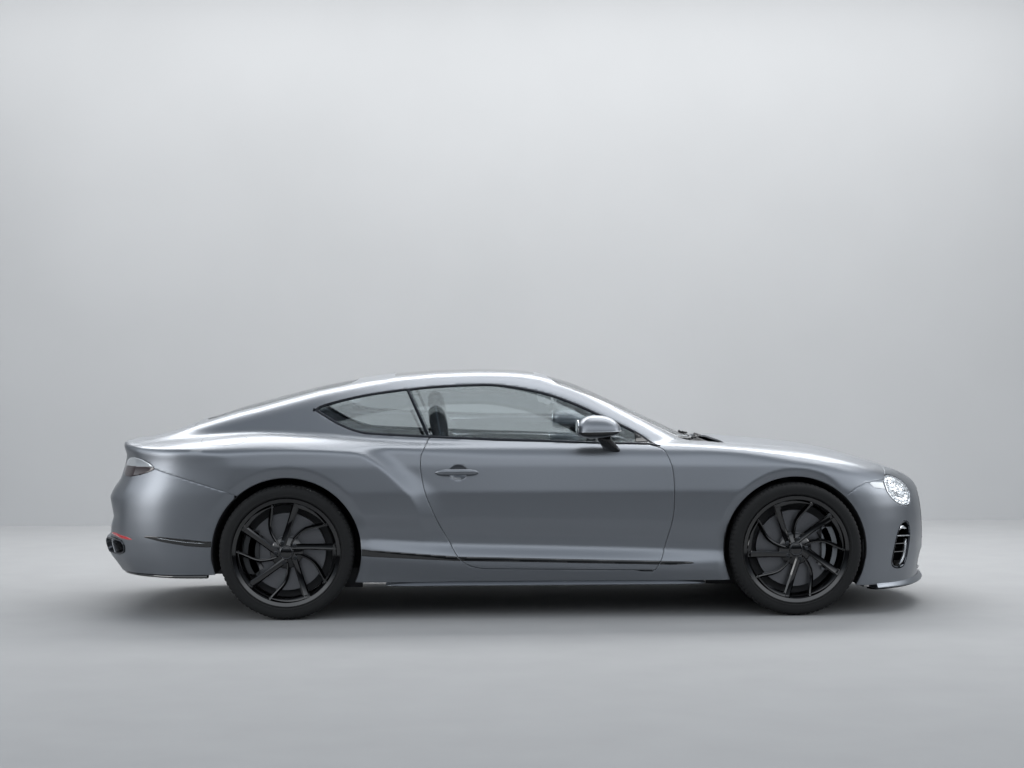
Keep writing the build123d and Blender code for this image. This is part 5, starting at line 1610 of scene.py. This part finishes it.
for angle in (0, math.pi, -math.pi / 2):
    way = math.cos(angle) * wheel_side + math.sin(angle) * wheel_up
    spokes.append(sweep([wheel_middle + way * d + wheel_out * h
                         for d, h in ((40, 2), (90, -2), (140, -2), (174, 0))],
                        np.cross(way, wheel_out), wheel_out, disc_section(12, 3.5),
                        [26, 20, 15, 12], [8, 7, 6, 6]))
one("steering_spokes", joined(*spokes), satin_metal)
one("steering_column", sweep([wheel_middle - wheel_out * 20, wheel_middle - wheel_out * 190],
                             wheel_up, wheel_side, disc_section(24, 3), [36, 52], [40, 60]),
    matte_black)
one("pedals", boxes(*[(835, y - w, 320, 850, y + w, 320 + h, 5)
                      for y, w, h in ((330, 26, 150), (430, 42, 70))]), satin_metal)

# Door linings, headlining and the inner mirror.
lining_line = inset(door_line, 34)
panel("door_lining_left", aside, (-600, 800), (290, 990),
      [side_in(lining_line), beyond(0, 612, -1)], hide, "door_left", step=16,
      depth=lambda p: 16 + 26 * np.exp(-((p[:, 2] - 640) / 60) ** 2), proud=-64)
panel("door_waist_left", aside, (-560, 640), (925, 972),
      [side_in(inset(door_line, 10)), beyond(0, 612, -1)], pale_hide, "door_left", step=14,
      depth=30, proud=-40)
pull = spline([(330, 838, 640), (260, 822, 668), (60, 818, 682), (-160, 822, 676),
               (-230, 838, 650)], 24)
both_sides("door_pull", sweep(pull, [0, 0.3, 0.95], [0, -0.95, 0.3], disc_section(12, 2.6), 15, 11),
           satin_metal, "door_left")
panel("headliner", above, (-1500, 120), (-520, 520), [
    lambda p: 505 - np.abs(p[:, 1]), plan_out(WINDSCREEN, 22), plan_out(ROOF_GLASS, 14),
    plan_out(REAR_WINDOW, 12)], headlining, step=18, depth=6, proud=-26)
panel("rail_lining_left", aside, (-1250, 780), (930, 1350), [
    side_out(dlo_line, 6), side_in(inset(dlo_line, -64)), lambda p: seam_plane(p) - 6,
    beyond(2, 1000), plan_out(WINDSCREEN, 16)], headlining, step=14, depth=7, proud=-30)
one("inner_mirror", loft([np.column_stack([0 * turn + x, 112 * k * squared(np.cos(turn), 0.6),
                                           1228 + 32 * k * squared(np.sin(turn), 0.8)])
                          for x, k in ((196, 0.97), (199, 1.0), (212, 0.96), (222, 0.7))]),
    gloss_black)
one("inner_mirror_stem", sweep([(216, 0, 1240), (240, 0, 1270), (262, 0, 1300)], [0, 1, 0],
                               [0.7, 0, 0.7], disc_section(10), 9, 9), matte_black)
panel("parcel_shelf", above, (-1500, -1085), (-520, 520), [lambda p: 500 - np.abs(p[:, 1])], carpet,
      step=30, depth=12, proud=-310)


# ---- finishes of the pieces kept as they are ------------------------------------------------
# Electrocoated pressed steel of the floor and boot, with its sound-deadening speckle.
deadened = surface("sound_deadened_steel", "1b1c1f", 0.8, "25272b", grain(7, 0.5, kind="cells"))
# Moulded felt of the wheel housings.
felt = surface("moulded_felt", "131416", 0.95, "1c1d20", grain(4, 0.8))
# Sand-cast aluminium, slightly rough.
cast_metal = surface("sand_cast_aluminium", "7d8083", 0.55, "6b6e71", grain(2.5, 0.25),
                     "suspension_metal", metallic=0.8)
# Forged steel in black chassis paint.
chassis = surface("black_chassis_paint", "1e2022", 0.5, "2a2c2e", grain(9, 0.1), "black_structure",
                  metallic=0.2)
for finish, names in [(deadened, ["floor_pan"]),
                      (felt, ["front_wheel_liners", "rear_wheel_liners"]),
                      (chassis, ["front_subframe", "rear_axle"]),
                      (cast_metal, ["knuckle_left", "knuckle_right"]),
                      (disc_iron, ["disc_front_left", "disc_front_right", "disc_rear_left",
                                   "disc_rear_right"])]:
    for name in names:
        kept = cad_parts[name].data
        kept.materials.clear()
        kept.materials.append(finish)


# ---- hoses and bosses -----------------------------------------------------------------------
def tube(points, radius, count=12):
    """A round hose or rod through points."""
    path = spline(points, 0, False, 8)
    across, up = frames(path, (0.1, 0.2, 1.0))
    return sweep(path, across, up, disc_section(count), radius, radius)


def button(x, y, z, radius, height):
    """A round boss with a softened top edge, standing on z."""
    turn = circle(24)
    return loft([np.column_stack([x + r * np.cos(turn), y + r * np.sin(turn), np.full(24, z + up)])
                 for r, up in ((radius, 0), (radius, 0.7 * height), (0.86 * radius, height),
                               (0.3 * radius, height))])


# ---- luggage space --------------------------------------------------------------------------
one("boot_carpet", boxes((-2230, -520, 546, -1520, 520, 556, 8)), carpet)
both_sides("boot_side_trim",
           boxes((-2285, 528, 550, -1520, 540, 800, 5), (-2180, 519, 640, -1980, 530, 700, 4)),
           carpet)
one("boot_front_trim", boxes((-1520, -520, 552, -1508, 520, 840, 5)), carpet)
one("boot_sill_trim", boxes((-2350, -470, 540, -2232, 470, 632, 12)), matte_black)
one("boot_sill_plate", boxes((-2338, -430, 631, -2262, 430, 637, 6)), satin_metal)
one("boot_lashing_eyes",
    joined(*[button(x, y, 555, 15, 6) for x in (-2170, -1580) for y in (-470, 470)]), satin_metal)


# ---- engine bay -----------------------------------------------------------------------------
# Glass-filled nylon of covers, shrouds and trims, moulded with a fine spark-eroded grain.
nylon = surface("glass_filled_nylon", "1a1b1d", 0.5, "232527", grain(2.2, 0.35), "matte_black")
# Foil-faced fibre mat of the bulkhead and under the bonnet.
mat = surface("pressed_fibre_mat", "202124", 0.95, "2b2c30", grain(5, 0.9, kind="cells"),
              "matte_black")
# Radiator core: drawn aluminium tube and fin, painted black.
core = surface("painted_radiator_core", "26282a", 0.5, "111214", grain(6, 0.6), "matte_black",
               metallic=0.4)
# Unfilled polypropylene of the fluid tanks, milky.
milky = surface("milky_polypropylene", "b9bab4", 0.45, "a9aaa3", grain(9, 0.1), "lamp_clear")
hose_rubber = surface("coolant_hose_rubber", "141516", 0.55, "1c1d1f", grain(3, 0.3), "tyre_rubber")
BANK_Y, BANK_Z, BANK_LEAN = 178, 588, 38.0      # foot of each cam cover, and its lean in degrees
FAN_X, FAN_Z = 2062, 465


def vee_head(side):
    """One bank's cam cover: a rounded box leaning outward from the vee, with five ribs."""
    lean = math.radians(BANK_LEAN * side)
    made = []
    for row in [(1245, -78, 0, 1835, 78, 112, 14)] + [(x, -70, 112, x + 12, 70, 120, 3)
                                                       for x in range(1290, 1830, 110)]:
        p, faces = boxes(row)
        y, z = p[:, 1], p[:, 2]
        made.append((np.column_stack([p[:, 0],
                                      side * BANK_Y + y * math.cos(lean) + z * math.sin(lean),
                                      BANK_Z - y * math.sin(lean) + z * math.cos(lean)]), faces))
    return joined(*made)


def facing(part, x, y, z, sign=1):
    """A mesh turned round an axle at 0, set to face forward (1) or back (-1) at (x, y, z)."""
    p, faces = part
    return np.stack([x + sign * p[:, 1], y + p[:, 0], z + p[:, 2] - AXLE_Z], 1), faces


def fan(y):
    """A cooling fan's ring, hub and seven blades."""
    parts = [facing(turned(profile, 0, count), FAN_X, y, FAN_Z, -1) for profile, count in (
        ([(168, 0), (178, 0), (178, 28), (168, 28)], 48),
        ([(4, -6), (52, -6), (56, 0), (56, 22), (4, 22)], 32))]
    for a in np.radians(np.arange(0, 360, 51.43)):
        q, faces = boxes((50, 4, -22, 172, 14, 22, 4))
        parts.append((np.stack([FAN_X - q[:, 1],
                                y + (q[:, 0] * math.cos(a) - q[:, 2] * math.sin(a)),
                                FAN_Z + (q[:, 0] * math.sin(a) + q[:, 2] * math.cos(a))], 1),
                      faces))
    return parts


def belt_wheel(y, z, r):
    """A belt wheel with a raised rim, in front of the engine."""
    profile = [(12, 0), (r, 0), (r, 6), (r - 5, 9), (r - 5, 19), (r, 22), (r, 28), (12, 28)]
    return facing(turned(profile, 0, 40), 1868, y, z)


one("engine_block", boxes((1225, -165, 345, 1860, 165, 600, 24),
                          (1210, -120, 300, 1700, 120, 352, 20),
                          *[(x, -172, 380, x + 14, 172, 560, 3) for x in range(1270, 1850, 95)]),
    cast_metal, slot="engine_metal", replaces=["engine"])
one("cam_covers", joined(vee_head(1), vee_head(-1)), nylon)
one("engine_cover", boxes((1290, -205, 735, 1800, 205, 790, 34),
                          *[(1330, y, 789, 1760, y + 9, 796, 3) for y in range(-150, 151, 33)],
                          (1310, -185, 689, 1330, 185, 740, 5),
                          (1760, -185, 689, 1780, 185, 740, 5)), nylon)
one("engine_cover_rails",
    boxes((1315, -196, 789, 1775, -178, 801, 6), (1315, 178, 789, 1775, 196, 801, 6)), satin_metal)
one("engine_cover_caps",
    joined(*[button(x, y, 788, 17, 12) for x in (1305, 1785) for y in (-150, 150)]), gloss_black)
one("belt_wheels", joined(belt_wheel(0, 400, 78), belt_wheel(120, 500, 46),
                          belt_wheel(-120, 500, 46), belt_wheel(0, 560, 40)), chassis)
one("radiator_core", boxes((2085, -430, 290, 2120, 430, 640, 3)), core)
one("radiator_frame", boxes((2075, -470, 640, 2165, 470, 672, 8),
                            (2078, -462, 270, 2128, -426, 650, 6),
                            (2078, 426, 270, 2128, 462, 650, 6),
                            (2078, -462, 262, 2128, 462, 292, 6)), nylon)
one("cooling_fans", joined(*fan(-205), *fan(205)), nylon)
one("radiator_hoses", joined(
    tube([(1850, 170, 640), (1930, 250, 655), (2010, 330, 640), (2085, 360, 600)], 21),
    tube([(1850, -170, 470), (1930, -250, 420), (2010, -330, 350), (2085, -350, 340)], 21),
    tube([(1240, 300, 640), (1180, 380, 680), (1190, 460, 735)], 11)), hose_rubber)
one("air_boxes",
    boxes((1750, -560, 560, 2030, -330, 720, 30), (1750, 330, 560, 2030, 560, 720, 30)), nylon)
one("air_ducts", joined(*[tube([(1790, side * 360, 700), (1720, side * 290, 745),
                                (1640, side * 215, 760)], 34, 16) for side in (-1, 1)]),
    hose_rubber)
one("coolant_tank", boxes((1130, 385, 655, 1275, 545, 765, 30)), milky)
one("washer_and_brake_tanks", boxes((1110, -560, 690, 1200, -460, 775, 22)), milky)
one("tank_caps", joined(button(1200, 465, 763, 30, 22), button(1155, -510, 773, 25, 18)),
    gloss_black)
one("fuse_box",
    boxes((1105, -430, 640, 1200, -230, 772, 14), (1102, -434, 772, 1203, -226, 790, 10)), nylon)
# Dark nylon walls low under the body, partly liner and undertray walls and partly painted shade:
# they close the gaps where the lit floor beyond would show, standing in for the shade under the
# car.
both_sides("underside_shade_wall", boxes((1062, 466, 130, 2180, 474, 420, 3),
                                   (-1045, 598, 140, -940, 606, 420, 3),
                                   (-1780, 598, 222, -1690, 606, 420, 3),
                                   (1894, 500, 150, 1902, 880, 420, 3)), nylon)
both_sides("strut_top", joined(
    button(1499, 590, 742, 92, 26), button(1499, 590, 767, 44, 16),
    *[button(1499 + 68 * math.cos(a), 590 + 68 * math.sin(a), 766, 8, 12)
      for a in (0.5, 2.6, 4.7)]), cast_metal)
one("strut_brace",
    tube([(1440, -560, 792), (1215, -150, 806), (1215, 150, 806), (1440, 560, 792)], 13),
    satin_metal)
one("bulkhead_mat", boxes((1051, -640, 420, 1064, 640, 850, 6)), mat)
one("bay_floor", boxes((1062, -430, 226, 2200, 430, 236, 5)), nylon)
panel("bonnet_mat", above, (1120, 2290), (-700, 700), [plan_in(BONNET, 55)], mat, "bonnet", step=26,
      depth=5, proud=-13)


# ---- stage and light ------------------------------------------------------------------------
def make_stage():
    """A pale floor, a pale wall behind it, a long soft light above, and surroundings that are
    darkest below the horizon, bluish above it and brightest overhead."""
    floor = surface("studio_floor", "88898a", 0.85, "919293", grain(350))
    wall = surface("studio_wall", "adaeaf", 0.9, "a3a4a5", grain(1600))
    # The backdrop is only there from its front.
    shader = wall.node_tree.nodes["Principled BSDF"]
    back_side = node(wall.node_tree, "ShaderNodeNewGeometry")
    clear = node(wall.node_tree, "ShaderNodeBsdfTransparent")
    pick = node(wall.node_tree, "ShaderNodeMixShader", [
        (0, back_side.outputs["Backfacing"]), (1, shader.outputs[0]), (2, clear.outputs[0])])
    wall.node_tree.links.new(wall.node_tree.nodes["Material Output"].inputs["Surface"],
                             pick.outputs[0])
    end, front, back, top = 16, -5.4, 5.75, 9
    flat = [(-end, front, 0), (end, front, 0), (end, back, 0), (-end, back, 0)]
    upright = [(-end, back, 0), (end, back, 0), (end, back, top), (-end, back, top)]
    for name, corners, material in [("floor", flat, floor), ("backdrop", upright, wall)]:
        mesh = bpy.data.meshes.new(name)
        mesh.from_pydata(corners, [], [(0, 1, 2, 3)])
        made = bpy.data.objects.new(name, mesh)
        mesh.materials.append(material)
        bpy.context.scene.collection.objects.link(made)
    for name, place, turn, size, power in [
            ("far_sky", (0, 4.0, 6.2), (math.radians(-28), 0, 0), (12, 2.1), 760),
            ("overhead", (2.4, -0.3, 6.4), (0, 0, 0), (8, 3.0), 220),
            ("front_card", (7.0, -2.2, 2.3), (0, math.radians(90), 0), (1.8, 3), 60),
            ("rear_card", (-7.0, -3.2, 2.0), (0, math.radians(-90), 0), (2.4, 3.6), 95),
            ("wall_light", (0, 0.6, 6.6), (math.radians(76), 0, 0), (14, 1.2), 150)]:
        lamp = bpy.data.lights.new(name, "AREA")
        lamp.shape, lamp.size, lamp.size_y, lamp.energy = "RECTANGLE", size[0], size[1], power
        made = bpy.data.objects.new(name, lamp)
        made.location, made.rotation_euler = place, turn
        bpy.context.scene.collection.objects.link(made)
    world = bpy.data.worlds.new("studio")
    bpy.context.scene.world = world
    world.use_nodes = True
    tree = world.node_tree
    way = node(tree, "ShaderNodeTexCoord")
    height = node(tree, "ShaderNodeSeparateXYZ", [("Vector", way.outputs["Generated"])])
    level = node(tree, "ShaderNodeMath", [(0, height.outputs["Z"])], operation="MULTIPLY_ADD")
    level.inputs[1].default_value = level.inputs[2].default_value = 0.5
    ramp = node(tree, "ShaderNodeValToRGB", [("Fac", level.outputs[0])])
    steps = [(0.0, "0b0c0d"), (0.47, "17181a"), (0.52, "2c2e31"), (0.58, "5f656b"),
             (0.66, "dfe3e8"), (0.76, "d8dde3"), (0.88, "7d838a"), (1.0, "6d7278")]
    stops = ramp.color_ramp.elements
    for at, code in steps[1:-1]:
        stops.new(at).color = rgb(code)
    stops[0].color, stops[len(steps) - 1].color = rgb(steps[0][1]), rgb(steps[-1][1])
    sky = tree.nodes["Background"]
    tree.links.new(sky.inputs["Color"], ramp.outputs[0])
    sky.inputs["Strength"].default_value = 2.1


make_stage()
